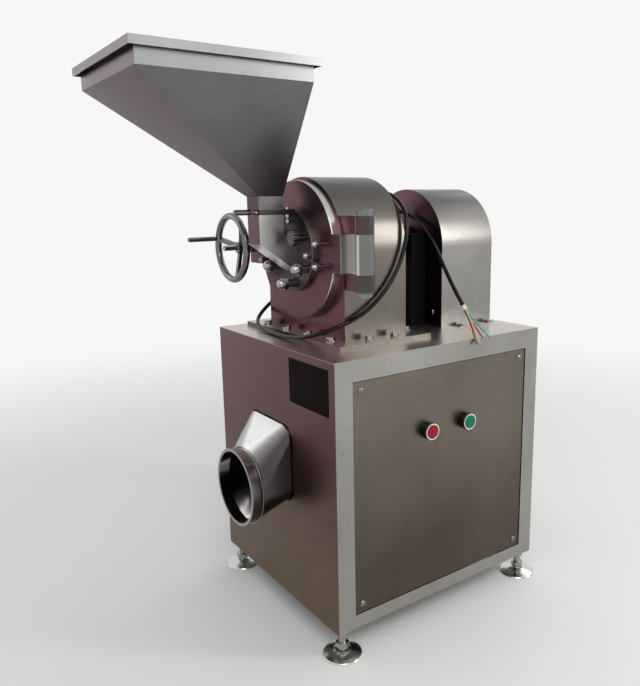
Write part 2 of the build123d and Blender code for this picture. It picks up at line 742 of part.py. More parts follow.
def base_plate():
    half = BASE_PLATE_HALF
    plate = block(-half, half, BASE_PLATE_FRONT, BASE_PLATE_REAR, CAB_TOP, BASE_TOP)
    throat = THROAT_WIDTH / 2
    plate -= block(-throat, throat, THROAT_FRONT, THROAT_REAR, CAB_TOP - 1, BASE_TOP + 1)
    bolts = []
    for x, y in base_bolt_places():
        plate -= post(x, y, CAB_TOP - 1, BASE_TOP + 1, BOLT_R + SEAT_GAP)
        bolts.append(hex_bolt(x, y, BASE_TOP, BASE_PLATE_THICK + TOP_PLATE - SEAT_GAP))
    save("mill_base_plate", plate)
    save("base_bolts", *bolts)


def hex_bolt(x, y, seat, grip):
    """A hexagon bolt and its washer in one piece, head up, with a plain shank."""
    washer = post(x, y, seat, seat + WASHER_THICK, WASHER_R)
    head = upright_hex(x, y, seat + WASHER_THICK, seat + WASHER_THICK + BOLT_HEAD, BOLT_AF)
    return washer + head + post(x, y, seat - grip, seat, BOLT_R)


def mill_housing():
    outer = arch(HOUSING_R, HOUSING_FRONT, HOUSING_REAR, BASE_TOP, SHAFT_Z)
    front_wall = HOUSING_FRONT + HOUSING_END_WALL
    room = arch(HOUSING_R - HOUSING_WALL, front_wall, CHAMBER_REAR, BASE_TOP - HOUSING_WALL, SHAFT_Z)
    shell = outer - room
    shell -= rod(0, SHAFT_Z, HOUSING_FRONT - 1, front_wall + 1, CHAMBER_MOUTH_R)
    register_r = SCREEN_R - SCREEN_THICK - SEAT_GAP
    register = rod(0, SHAFT_Z, CHAMBER_REAR - REGISTER_DEPTH, CHAMBER_REAR, register_r)
    register -= rod(0, SHAFT_Z, CHAMBER_REAR - REGISTER_DEPTH, CHAMBER_REAR, register_r - HOUSING_WALL)
    shell += register
    shell -= rod(0, SHAFT_Z, CHAMBER_REAR - 1, HOUSING_REAR + 1, BEARING_BORE_R + SHAFT_HOLE_CLEAR)
    save("mill_housing", shell)


def screen_ring():
    y0 = DOOR_BACK + SEAT_GAP
    y1 = CHAMBER_REAR - SEAT_GAP
    ring = rod(0, SHAFT_Z, y0, y1, SCREEN_R) - rod(0, SHAFT_Z, y0, y1, SCREEN_R - SCREEN_THICK)
    margin = HOUSING_END_WALL + 10.0
    slot_end = CHAMBER_REAR - REGISTER_DEPTH - 8.0
    for i in range(SCREEN_SLOT_COUNT):
        angle = 360.0 / SCREEN_SLOT_COUNT * (i + 0.5)
        cut = block(
            SCREEN_R - 2 * SCREEN_THICK, SCREEN_R + SCREEN_THICK, y0 + margin, slot_end,
            -SCREEN_SLOT_WIDTH / 2, SCREEN_SLOT_WIDTH / 2
        )
        ring -= Pos(0, 0, SHAFT_Z) * Rot(0, angle, 0) * cut
    save("screen_ring", ring)


# Shaft, bearings, pulleys, belts and motor
def bearings():
    outer = []
    inner = []
    seal_bore = INNER_RACE_R + SLIDING_FIT
    for y in BEARING_YS:
        ring = rod(0, SHAFT_Z, y, y + BEARING_WIDTH, BEARING_R)
        outer.append(ring - rod(0, SHAFT_Z, y, y + BEARING_WIDTH, seal_bore))
        race = rod(0, SHAFT_Z, y, y + BEARING_WIDTH, INNER_RACE_R)
        inner.append(race - rod(0, SHAFT_Z, y, y + BEARING_WIDTH, BEARING_BORE_R))
    save("bearing_outer_races", *outer)
    save("bearing_inner_races", *inner)


def bearing_body():
    lip_end = BEARING_YS[0]
    body = rod(0, SHAFT_Z, HOUSING_REAR, BEARING_END, BEARING_BODY_R)
    body += rod(0, SHAFT_Z, HOUSING_REAR, HOUSING_REAR + BEARING_FLANGE_THICK, BEARING_FLANGE_R)
    body -= rod(0, SHAFT_Z, lip_end, BEARING_END + 1, BEARING_R)
    body -= rod(0, SHAFT_Z, HOUSING_REAR - 1, lip_end + 1, BEARING_BORE_R + SHAFT_HOLE_CLEAR)
    cap_end = BEARING_END + BEARING_CAP
    cap = rod(0, SHAFT_Z, BEARING_END, cap_end, BEARING_BODY_R)
    cap += rod(0, SHAFT_Z, BEARING_YS[1] + BEARING_WIDTH, BEARING_END, BEARING_R)
    cap -= rod(0, SHAFT_Z, BEARING_YS[1], cap_end + 1, BEARING_BORE_R + SHAFT_HOLE_CLEAR)
    save("bearing_housing", body, cap)
    half = SUPPORT_HALF
    t = SUPPORT_WALL
    stand = block(-half, half, SUPPORT_FRONT, SUPPORT_REAR, CAB_TOP, SUPPORT_TOP)
    stand -= block(t - half, half - t, SUPPORT_FRONT + t, SUPPORT_REAR - t, CAB_TOP - 1, SUPPORT_TOP - t)
    stand += rod(0, SHAFT_Z, SUPPORT_FRONT, SUPPORT_REAR, SUPPORT_COLLAR_R)
    stand -= rod(0, SHAFT_Z, SUPPORT_FRONT - 1, SUPPORT_REAR + 1, BEARING_BODY_R)
    save("bearing_support", stand)
    seat = SUPPORT_COLLAR_R - 0.6
    nipple = turned(
        [
            (0, seat), (4.5, seat), (4.5, seat + 5), (2.6, seat + 6.5),
            (3.4, seat + 10), (1.8, seat + 13), (0, seat + 13),
        ]
    )
    save("grease_nipple", Pos(0, NIPPLE_Y, SHAFT_Z) * Rot(0, NIPPLE_ANGLE, 0) * nipple - stand)


def main_shaft():
    end = PULLEY_Y + PULLEY_WIDTH / 2 + 12.0
    rotor_end = ROTOR_FRONT + 2 * ROTOR_PLATE + HAMMER_LENGTH
    nut = 16.0
    shaft = rod(0, SHAFT_Z, ROTOR_FRONT - nut - 4.0, rotor_end, ROTOR_SHAFT_R)
    shaft += rod(0, SHAFT_Z, rotor_end, BEARING_YS[1] + BEARING_WIDTH, BEARING_BORE_R)
    shaft += rod(0, SHAFT_Z, BEARING_YS[1] + BEARING_WIDTH, end, PULLEY_SHAFT_R)
    save("main_shaft", shaft)
    ring = extrude(hexagon(46.0), nut) - Cylinder(ROTOR_SHAFT_R, 4 * nut)
    save("rotor_nut", facing_front(0, ROTOR_FRONT, SHAFT_Z) * ring)


def pulley(r, bore):
    """A two-groove pulley about Z with its mid plane at z = 0."""
    half = PULLEY_WIDTH / 2
    top = BELT_TOP / 2 + 0.6
    bottom = BELT_BOTTOM / 2 + 0.2
    outline = [(bore, -half), (r, -half)]
    for i in range(BELT_COUNT):
        z = (i - (BELT_COUNT - 1) / 2) * GROOVE_PITCH
        outline += [
            (r, z - top), (r - GROOVE_DEPTH, z - bottom), (r - GROOVE_DEPTH, z + bottom), (r, z + top),
        ]
    outline += [(r, half), (bore, half)]
    return turned(outline)


def drive():
    mill_place = facing_front(0, PULLEY_Y, SHAFT_Z)
    motor_place = facing_front(0, PULLEY_Y, MOTOR_Z)
    save("mill_pulley", mill_place * pulley(MILL_PULLEY_R, PULLEY_SHAFT_R))
    save("motor_pulley", motor_place * pulley(MOTOR_PULLEY_R, MOTOR_SHAFT_R))
    belts = []
    for i in range(BELT_COUNT):
        y = PULLEY_Y + (i - (BELT_COUNT - 1) / 2) * GROOVE_PITCH
        belts.append(v_belt(y))
    save("v_belts", *belts)
    end = PULLEY_Y + PULLEY_WIDTH / 2 + 4.0
    shaft = rod(0, MOTOR_Z, MOTOR_FRONT + MOTOR_HOOD - 12.0, end, MOTOR_SHAFT_R)
    shaft += rod(0, MOTOR_Z, MOTOR_FRONT + MOTOR_HOOD, MOTOR_REAR - MOTOR_BELL - 10.0, MOTOR_ROTOR_R)
    save("motor_shaft", shaft)


def v_belt(y):
    """One belt round both pulleys: arcs turned about each pulley, straight runs between."""
    out = 1.0
    section = [(out, -BELT_TOP / 2), (out, BELT_TOP / 2), (out - BELT_DEPTH, BELT_BOTTOM / 2),
               (out - BELT_DEPTH, -BELT_BOTTOM / 2)]
    centre_gap = SHAFT_Z - MOTOR_Z
    lean = degrees(asin_ratio((MOTOR_PULLEY_R - MILL_PULLEY_R) / centre_gap))
    run = centre_gap * cos(radians(lean))
    belt = None
    for r, z, sweep, start in (
        (MILL_PULLEY_R, SHAFT_Z, 180.0 - 2 * lean, lean),
        (MOTOR_PULLEY_R, MOTOR_Z, 180.0 + 2 * lean, 180.0 - lean),
    ):
        face = make_face(Polyline([(r + a, b, 0) for a, b in section], close=True))
        arc = revolve(face, Axis.Y, revolution_arc=-sweep)
        part = Pos(0, y, z) * Rot(0, -start, 0) * arc
        belt = part if belt is None else belt + part
    for side in (-1, 1):
        face = make_face(Polyline([(side * (MOTOR_PULLEY_R + a), b, 0) for a, b in section], close=True))
        straight = extrude(face, run, dir=(0, 0, 1))
        belt += Pos(0, y, MOTOR_Z) * Rot(0, -side * lean, 0) * straight
    return belt


def asin_ratio(value):
    return atan(value / sqrt(1 - value * value))


def motor():
    core_r = MOTOR_R - MOTOR_FIN_HEIGHT
    front = MOTOR_FRONT + MOTOR_HOOD
    bell_front = MOTOR_REAR - 0.6 * MOTOR_BELL
    body = rod(0, MOTOR_Z, front - 14.0, bell_front, core_r)
    body += rod(0, MOTOR_Z, bell_front, MOTOR_REAR, MOTOR_BELL_R)
    for i in range(MOTOR_FIN_COUNT):
        fin = block(
            core_r - 4.0, MOTOR_R, front, bell_front - 14.0, -MOTOR_FIN_THICK / 2, MOTOR_FIN_THICK / 2,
        )
        body += Pos(0, 0, MOTOR_Z) * Rot(0, 360.0 / MOTOR_FIN_COUNT * (i + 0.5), 0) * fin
    foot_top = BED_TOP + MOTOR_FOOT_THICK
    for y in MOTOR_FOOT_YS:
        reach = MOTOR_FOOT_DEPTH / 2
        foot = block(-MOTOR_FOOT_HALF, MOTOR_FOOT_HALF, y - reach, y + reach, BED_TOP, foot_top)
        leg = MOTOR_LEG_DEPTH / 2
        foot += block(-MOTOR_LEG_HALF, MOTOR_LEG_HALF, y - leg, y + leg, foot_top, MOTOR_Z)
        body += foot - rod(0, MOTOR_Z, y - 2 * reach, y + 2 * reach, core_r - 1.0)
    box_y = (front + MOTOR_REAR) / 2
    body += block(
        core_r - 20.0, core_r + MOTOR_BOX_REACH, box_y - MOTOR_BOX_DEPTH / 2, box_y + MOTOR_BOX_DEPTH / 2,
        MOTOR_Z - MOTOR_BOX_HEIGHT / 2, MOTOR_Z + MOTOR_BOX_HEIGHT / 2
    )
    body -= rod(0, MOTOR_Z, front - 3.0, MOTOR_REAR - MOTOR_BELL, MOTOR_ROTOR_R + MOTOR_ROTOR_GAP)
    body -= rod(0, MOTOR_Z, MOTOR_FRONT, MOTOR_REAR + 1, MOTOR_SHAFT_R + SLIDING_FIT)
    save("motor_body", body)
    cowl = rod(0, MOTOR_Z, MOTOR_FRONT, front, MOTOR_R)
    cowl -= rod(0, MOTOR_Z, MOTOR_FRONT + MOTOR_HOOD_SHEET, front, core_r)
    half_vent = HOOD_VENT_WIDTH / 2
    for i in range(HOOD_VENT_COUNT):
        vent = block(
            HOOD_VENT_INNER, HOOD_VENT_OUTER, MOTOR_FRONT - 1, MOTOR_FRONT + 2 * MOTOR_HOOD_SHEET,
            -half_vent, half_vent
        )
        cowl -= Pos(0, 0, MOTOR_Z) * Rot(0, 360.0 / HOOD_VENT_COUNT * i, 0) * vent
    save("motor_cowl", cowl)
    motor_bed()


def motor_bed():
    """Two channels across the lower rails, open below, under the motor's feet."""
    half = TUBE / 2
    inner = half - BED_WALL
    x0 = CAB_LEFT + PANEL_RECESS + SKIN + 2.0
    x1 = CAB_RIGHT - PANEL_RECESS - SKIN - 2.0
    bars = []
    for y in MOTOR_FOOT_YS:
        bar = block(x0, x1, y - half, y + half, BED_LOW, BED_TOP)
        bars.append(bar - block(x0, x1, y - inner, y + inner, BED_LOW, BED_TOP - BED_WALL))
    save("motor_bed", *bars)


# Rotor and fixed disc
def tooth(row_r, span, y0, y1):
    """One tooth with curved faces that follow its row, centred on the +X direction."""
    r0 = row_r - TOOTH_WIDTH / 2
    r1 = row_r + TOOTH_WIDTH / 2
    a = span / 2

    def at(r, angle):
        return (r * cos(radians(angle)), y0, r * sin(radians(angle)))

    outline = make_face(
        [
            Line(at(r0, -a), at(r1, -a)),
            ThreePointArc(at(r1, -a), at(r1, 0), at(r1, a)),
            Line(at(r1, a), at(r0, a)),
            ThreePointArc(at(r0, a), at(r0, 0), at(r0, -a)),
        ]
    )
    return extrude(outline, y1 - y0, dir=(0, 1, 0))


def tooth_rows(first, y0, y1):
    """Every second row of teeth, from the first row given: the rotor's and the disc's rows alternate."""
    teeth = []
    for row in range(first, len(TOOTH_COUNTS), 2):
        row_r = FIRST_ROW_R + row * ROW_PITCH
        count = TOOTH_COUNTS[row]
        pitch = 360.0 / count
        for i in range(count):
            turn = Pos(0, 0, SHAFT_Z) * Rot(0, pitch * (i + 0.5), 0)
            teeth.append(turn * tooth(row_r, 0.42 * pitch, y0, y1))
    return teeth


def rotor():
    y1 = ROTOR_FRONT + ROTOR_PLATE
    y2 = y1 + HAMMER_LENGTH
    y3 = y2 + ROTOR_PLATE
    body = rod(0, SHAFT_Z, ROTOR_FRONT, y1, ROTOR_R)
    body += rod(0, SHAFT_Z, y1, y2, 2 * ROTOR_SHAFT_R)
    body += rod(0, SHAFT_Z, y2, y3, ROTOR_R)
    tip = ROTOR_R + HAMMER_REACH
    for i in range(HAMMER_COUNT):
        hammer = block(tip - HAMMER_DEPTH, tip, ROTOR_FRONT, y3, -HAMMER_THICK / 2, HAMMER_THICK / 2)
        body += Pos(0, 0, SHAFT_Z) * Rot(0, 360.0 / HAMMER_COUNT * i, 0) * hammer
    for solid in tooth_rows(0, ROTOR_FRONT - TOOTH_LENGTH, ROTOR_FRONT):
        body += solid
    body -= rod(0, SHAFT_Z, ROTOR_FRONT - 1, y3 + 1, ROTOR_SHAFT_R)
    save("rotor", body)


def fixed_disc():
    y1 = DOOR_BACK + FIXED_DISC_THICK
    disc = rod(0, SHAFT_Z, DOOR_BACK, y1, FIXED_DISC_R)
    for solid in tooth_rows(1, y1, y1 + TOOTH_LENGTH):
        disc += solid
    disc -= rod(0, SHAFT_Z, DOOR_BACK - 1, y1 + 1, FEED_HOLE_R)
    save("fixed_disc", disc)


# Door, hinge and clamp
def feed_hole(y0, y1):
    half = SPOUT_HALF - SHEET
    return block(-half, half, y0, y1, CHUTE_MOUTH_FOOT + SHEET, CHUTE_MOUTH_TOP - SHEET)


def door_plate():
    disc = rod(0, SHAFT_Z, DOOR_FRONT, DOOR_BACK, DOOR_R)
    disc = fillet(disc.edges().group_by(Axis.Y)[0], 4.0)
    strap = block(STRAP_LEFT, STRAP_RIGHT, DOOR_FRONT, DOOR_BACK, STRAP_LOW, STRAP_HIGH)
    strap = chamfer(strap.faces().sort_by(Axis.Y)[0].edges(), 1.5)
    plate = disc + strap
    plate += block(
        STRAP_RIGHT - STRAP_BLOCK, STRAP_RIGHT, DOOR_BACK - 6.0, HINGE_Y + 4.0, STRAP_LOW, STRAP_HIGH,
    )
    plate -= feed_hole(DOOR_FRONT - 1, DOOR_BACK + 1)
    plate -= rod(CLAMP_X, SHAFT_Z, DOOR_FRONT - 1, DOOR_BACK + 1, SLEEVE_R + SLIDING_FIT)
    save("door_plate", plate)


def hinge():
    half_web = KNUCKLE_WEB / 2
    knuckle = post(HINGE_X, HINGE_Y, STRAP_LOW, STRAP_HIGH, HINGE_R)
    knuckle += block(STRAP_RIGHT, HINGE_X, HINGE_Y - half_web, HINGE_Y + half_web, STRAP_LOW, STRAP_HIGH)
    knuckle -= post(HINGE_X, HINGE_Y, STRAP_LOW - 1, STRAP_HIGH + 1, PIN_R + SLIDING_FIT)
    save("door_knuckle", knuckle)
    upper = (STRAP_HIGH + HINGE_GAP, STRAP_HIGH + HINGE_GAP + UPPER_KNUCKLE)
    lower = (STRAP_LOW - HINGE_GAP - LOWER_KNUCKLE, STRAP_LOW - HINGE_GAP)
    housing = arch(HOUSING_R, HOUSING_FRONT, HOUSING_REAR, BASE_TOP, SHAFT_Z)
    half = HINGE_PLATE / 2
    brackets = []
    for z0, z1 in (lower, upper):
        piece = post(HINGE_X, HINGE_Y, z0, z1, HINGE_R)
        piece += block(HOUSING_R - 45.0, HINGE_X, HINGE_Y - half, HINGE_Y + half, z0, z1) - housing
        piece -= post(HINGE_X, HINGE_Y, z0 - 1, z1 + 1, PIN_R)
        brackets.append(piece)
    save("hinge_brackets", *brackets)
    pin = post(HINGE_X, HINGE_Y, lower[0] - HINGE_NUT - 3.0, upper[1], PIN_R)
    pin += post(HINGE_X, HINGE_Y, upper[1], upper[1] + PIN_HEAD, PIN_HEAD_R)
    pin = chamfer(pin.edges().group_by(Axis.Z)[-1], 2.0)
    nut = upright_hex(HINGE_X, HINGE_Y, lower[0] - HINGE_NUT, lower[0], HINGE_NUT_AF + 6.0)
    nut -= post(HINGE_X, HINGE_Y, lower[0] - 2 * HINGE_NUT, lower[0] + 1, PIN_R)
    save("hinge_pin", pin, nut)


def acorn_nut(flats, depth, dome, standoff=0.0):
    """A domed nut standing on z = 0, on a plain collar where it stands off."""
    r = flats / 2 - 0.5
    nut = Pos(0, 0, standoff) * extrude(hexagon(flats), depth)
    cap = turned(
        [(0, 0), (r, 0), (0.93 * r, 0.4 * dome), (0.68 * r, 0.78 * dome), (0.3 * r, 0.97 * dome), (0, dome)]
    )
    nut += Pos(0, 0, standoff + depth) * cap
    if standoff:
        nut += Cylinder(0.36 * flats, standoff, align=(Align.CENTER, Align.CENTER, Align.MIN))
    return nut


def door_fittings():
    flange = rod(0, SHAFT_Z, FLANGE_FRONT, DOOR_FRONT, FLANGE_R)
    flange = chamfer(flange.edges().group_by(Axis.Y)[0], 1.5)
    flange -= feed_hole(FLANGE_FRONT - 1, DOOR_FRONT + 1)
    star_x, star_z = star_place()
    flange -= rod(star_x, star_z, FLANGE_FRONT - 1, DOOR_FRONT + 1, STAR_STUD_R + SLIDING_FIT)
    save("door_flange", flange)
    nuts = []
    for angle in (-30.0, -90.0, -150.0, 150.0):
        x = FLANGE_BOLT_R * cos(radians(angle))
        z = SHAFT_Z + FLANGE_BOLT_R * sin(radians(angle))
        nut = acorn_nut(ACORN_AF, ACORN_NUT, ACORN_DOME, ACORN_STANDOFF)
        nuts.append(facing_front(x, FLANGE_FRONT, z) * nut)
    small = acorn_nut(SMALL_ACORN_AF, SMALL_ACORN_NUT, SMALL_ACORN_DOME)
    nuts.append(facing_front(SMALL_ACORN_X, FLANGE_FRONT, SHAFT_Z - SMALL_ACORN_DROP) * small)
    for side in (-1, 1):
        for rise in DOOR_NUT_HEIGHTS:
            nut = acorn_nut(SMALL_ACORN_AF, SMALL_ACORN_NUT, SMALL_ACORN_DOME, DOOR_NUT_STANDOFF)
            nuts.append(facing_front(side * DOOR_NUT_X, DOOR_FRONT, SHAFT_Z + rise) * nut)
    save("door_nuts", *nuts)


def star_place():
    x = FLANGE_BOLT_R * cos(radians(STAR_ANGLE))
    z = SHAFT_Z + FLANGE_BOLT_R * sin(radians(STAR_ANGLE))
    return x, z


def star_knob():
    lobe_r = 4.6
    knob = Cylinder(STAR_R - lobe_r, STAR_THICK, align=(Align.CENTER, Align.CENTER, Align.MIN))
    for i in range(STAR_LOBES):
        turn = Rot(0, 0, 360.0 / STAR_LOBES * i)
        lobe = Cylinder(lobe_r, STAR_THICK, align=(Align.CENTER, Align.CENTER, Align.MIN))
        knob += turn * Pos(STAR_R - lobe_r, 0, 0) * lobe
    knob = Pos(0, 0, STAR_STANDOFF) * knob
    knob += Pos(0, 0, SEAT_GAP) * Cylinder(
        1.7 * STAR_STUD_R, STAR_STANDOFF - SEAT_GAP, align=(Align.CENTER, Align.CENTER, Align.MIN)
    )
    stud = FLANGE_THICK - SEAT_GAP
    knob += Pos(0, 0, -stud) * Cylinder(
        STAR_STUD_R, stud + 2.0, align=(Align.CENTER, Align.CENTER, Align.MIN)
    )
    x, z = star_place()
    save("star_knob", facing_front(x, FLANGE_FRONT, z) * knob)


def clamp():
    housing = arch(HOUSING_R, HOUSING_FRONT, HOUSING_REAR, BASE_TOP, SHAFT_Z)
    half = LUG_HEIGHT / 2
    lug = block(
        -HOUSING_R - LUG_REACH, 20.0 - HOUSING_R, HOUSING_FRONT, HOUSING_FRONT + LUG_DEPTH,
        SHAFT_Z - half, SHAFT_Z + half
    )
    lug -= housing
    lug -= rod(CLAMP_X, SHAFT_Z, HOUSING_FRONT - 1, HOUSING_FRONT + LUG_DEPTH + 1, SPINDLE_R + LUG_CLEAR)
    save("clamp_lug", lug)
    head_front = DOOR_FRONT - SEAT_GAP - SLEEVE_HEAD
    sleeve = rod(CLAMP_X, SHAFT_Z, DOOR_FRONT - SEAT_GAP - 1.0, DOOR_BACK - SEAT_GAP, SLEEVE_R)
    sleeve += rod(CLAMP_X, SHAFT_Z, head_front, DOOR_FRONT - SEAT_GAP, SLEEVE_HEAD_R)
    sleeve -= rod(CLAMP_X, SHAFT_Z, head_front - 1, DOOR_BACK + 1, SPINDLE_R + SLIDING_FIT)
    save("clamp_sleeve", sleeve)
    tip = HOUSING_FRONT + SPINDLE_TIP
    spindle = rod(CLAMP_X, SHAFT_Z, tip - SPINDLE_LENGTH, tip, SPINDLE_R)
    ends = spindle.edges().group_by(Axis.Y)
    spindle = chamfer(ends[0] + ends[-1], 1.5)
    save("clamp_spindle", spindle)
    handwheel(head_front - SEAT_GAP)


def handwheel(hub_rear):
    hub_front = hub_rear - HUB_LENGTH
    rim_y = hub_front - WHEEL_DISH
    wheel = rod(CLAMP_X, SHAFT_Z, hub_front, hub_rear, HUB_R)
    rim_plane = Plane((CLAMP_X, rim_y, SHAFT_Z), x_dir=(1, 0, 0), z_dir=(0, -1, 0))
    wheel += rim_plane * Torus(WHEEL_R, WHEEL_TUBE_R)
    for i in range(SPOKE_COUNT):
        angle = radians(CRANK_ANGLE + 360.0 / SPOKE_COUNT * i)
        out = (cos(angle), sin(angle))
        inner = Vector(CLAMP_X + 10.0 * out[0], hub_front + 9.0, SHAFT_Z + 10.0 * out[1])
        outer = Vector(CLAMP_X + WHEEL_R * out[0], rim_y, SHAFT_Z + WHEEL_R * out[1])
        along = outer - inner
        across = Vector(-out[1], 0, out[0])
        section = Plane(inner, x_dir=across, z_dir=along) * Rectangle(SPOKE_WIDTH, SPOKE_THICK)
        wheel += extrude(section, along.length, dir=along)
    wheel -= rod(CLAMP_X, SHAFT_Z, rim_y - 2 * WHEEL_TUBE_R, hub_rear + 1, SPINDLE_R)
    x = CLAMP_X + WHEEL_R * cos(radians(CRANK_ANGLE))
    z = SHAFT_Z + WHEEL_R * sin(radians(CRANK_ANGLE))
    shoulder = rim_y - WHEEL_TUBE_R - 2.0
    grip_end = shoulder - CRANK_GRIP_LENGTH
    wheel += rod(x, z, grip_end - SEAT_GAP - 2.5, rim_y, CRANK_AXLE_R)
    wheel += rod(x, z, shoulder + SEAT_GAP, rim_y, CRANK_GRIP_R)
    wheel += rod(x, z, grip_end - SEAT_GAP - 2.5, grip_end - SEAT_GAP, CRANK_GRIP_R - 1.0)
    save("handwheel", wheel)
    grip = rod(x, z, grip_end, shoulder, CRANK_GRIP_R)
    rims = grip.edges().group_by(Axis.Y)
    grip = chamfer(rims[0] + rims[-1], 1.2)
    grip -= rod(x, z, grip_end - 1, shoulder + 1, CRANK_AXLE_R + SLIDING_FIT)
    save("crank_grip", grip)


# Feed chute, gate, spout and hopper
def feed_chute():
    wall = SHEET
    outer = side_profile(
        [
            (SPOUT_FRONT, CHUTE_TOP), (SPOUT_REAR, CHUTE_TOP), (SPOUT_REAR, CHUTE_BACK_FOOT),
            (FLANGE_FRONT, CHUTE_MOUTH_TOP), (FLANGE_FRONT, CHUTE_MOUTH_FOOT),
            (SPOUT_FRONT, CHUTE_FRONT_FOOT),
        ],
        -SPOUT_HALF, SPOUT_HALF
    )
    slope = (CHUTE_FRONT_FOOT - CHUTE_MOUTH_FOOT) / (SPOUT_FRONT - FLANGE_FRONT)
    beyond = 5.0
    inner = side_profile(
        [
            (SPOUT_FRONT + wall, CHUTE_TOP + beyond), (SPOUT_REAR - wall, CHUTE_TOP + beyond),
            (SPOUT_REAR - wall, CHUTE_BACK_FOOT - wall), (FLANGE_FRONT, CHUTE_MOUTH_TOP - wall),
            (FLANGE_FRONT + beyond, CHUTE_MOUTH_TOP - wall), (FLANGE_FRONT + beyond, CHUTE_MOUTH_FOOT + wall),
            (FLANGE_FRONT, CHUTE_MOUTH_FOOT + wall),
            (SPOUT_FRONT + wall, CHUTE_FRONT_FOOT + wall * (1 + slope)),
        ],
        wall - SPOUT_HALF, SPOUT_HALF - wall
    )
    lip = side_profile(
        [
            (SPOUT_FRONT, CHUTE_FRONT_FOOT), (FLANGE_FRONT, CHUTE_MOUTH_FOOT),
            (FLANGE_FRONT, CHUTE_MOUTH_FOOT - CHUTE_LIP), (SPOUT_FRONT, CHUTE_FRONT_FOOT - CHUTE_LIP),
        ],
        -SPOUT_HALF - CHUTE_LIP, SPOUT_HALF + CHUTE_LIP
    )
    save("feed_chute", outer - inner + lip)


def gate():
    half = SPOUT_HALF - SHEET
    front = SPOUT_FRONT - SHEET
    throat = block(-half, half, SPOUT_FRONT + SHEET, SPOUT_REAR - SHEET, CHUTE_TOP - 1, GATE_TOP + 1)
    frame = block(-GATE_HALF, GATE_HALF, front, GATE_REAR, CHUTE_TOP, GATE_TOP)
    frame -= block(-SPOUT_HALF, SPOUT_HALF, front - 1, SPOUT_REAR + 6.0, SLOT_LOW, SLOT_HIGH)
    frame -= throat
    bolts = []
    for side in (-1, 1):
        x = side * GATE_BOLT_X
        frame -= post(x, GATE_BOLT_Y, CHUTE_TOP - 1, GATE_TOP + 1, PANEL_SCREW_R)
        bolt = post(x, GATE_BOLT_Y, CHUTE_TOP - GATE_BOLT_LENGTH, GATE_TOP, PANEL_SCREW_R)
        bolt += upright_hex(x, GATE_BOLT_Y, GATE_TOP, GATE_TOP + GATE_BOLT_HEAD, GATE_BOLT_AF)
        bolt += upright_hex(x, GATE_BOLT_Y, CHUTE_TOP - GATE_BOLT_NUT, CHUTE_TOP, GATE_BOLT_AF)
        hang = Plane((x, GATE_BOLT_Y, CHUTE_TOP - 2 * GATE_BOLT_NUT), x_dir=(1, 0, 0), z_dir=(0, 0, -1))
        bolt += hang * acorn_nut(GATE_BOLT_AF, GATE_BOLT_NUT - 0.5, GATE_BOLT_NUT - 1.0)
        bolts.append(bolt)
    save("gate_frame", frame)
    save("gate_bolts", *bolts)
    blade_half = SPOUT_HALF - SEAT_GAP
    tongue = front - GATE_LIP
    blade = block(-blade_half, blade_half, tongue, SPOUT_REAR + 3.0, BLADE_LOW, BLADE_LOW + GATE_BLADE)
    save("gate_blade", blade)
    grip = rod(0, GRIP_Z, tongue - GRIP_LENGTH, tongue, GRIP_R)
    grip = chamfer(grip.edges().group_by(Axis.Y)[0], 1.5)
    save("gate_grip", grip)


def spout_and_hopper():
    wall = SHEET
    spout = block(-SPOUT_HALF, SPOUT_HALF, SPOUT_FRONT, SPOUT_REAR, GATE_TOP, SPOUT_TOP)
    spout -= block(
        wall - SPOUT_HALF, SPOUT_HALF - wall,
        SPOUT_FRONT + wall, SPOUT_REAR - wall,
        GATE_TOP - 1, SPOUT_TOP + 1,
    )
    save("hopper", hopper_solid(0) - hopper_solid(wall) + spout)
    rim_half = HOPPER_HALF + RIM_WIDTH
    rim_front = HOPPER_FRONT - RIM_WIDTH
    rim_rear = HOPPER_REAR + RIM_WIDTH
    low = RIM_TOP - RIM_DEPTH
    top = RIM_TOP - RIM_SHEET
    rim = block(-rim_half, rim_half, rim_front, rim_rear, low, RIM_TOP)
    t = RIM_SHEET
    rim -= block(t - rim_half, rim_half - t, rim_front + t, rim_rear - t, low - 1, top)
    rim -= block(
        wall - HOPPER_HALF, HOPPER_HALF - wall, HOPPER_FRONT + wall, HOPPER_REAR - wall, top - 1, RIM_TOP + 1
    )
    save("hopper_rim", rim)


def hopper_solid(inset):
    """The hopper as a solid, drawn in by an inset: a pyramid under an upright collar."""
    reach = 3.0 if inset else 0.0
    half_low = SPOUT_HALF - inset
    half_high = HOPPER_HALF - inset

    def level(half, y0, y1, z):
        return Pos(0, (y0 + y1) / 2, z) * Rectangle(2 * half, y1 - y0)

    foot = level(half_low, SPOUT_FRONT + inset, SPOUT_REAR - inset, SPOUT_TOP)
    shoulder = level(half_high, HOPPER_FRONT + inset, HOPPER_REAR - inset, COLLAR_FOOT)
    body = loft([foot, shoulder], ruled=True)
    body += extrude(shoulder, RIM_TOP - RIM_SHEET - COLLAR_FOOT + reach)
    if inset:
        body += extrude(foot, -reach)
    return body


# Belt cover
def cover_tab_places():
    x = COVER_R + COVER_TAB / 2
    return [(side * x, y) for side in (-1, 1) for y in COVER_TAB_YS]


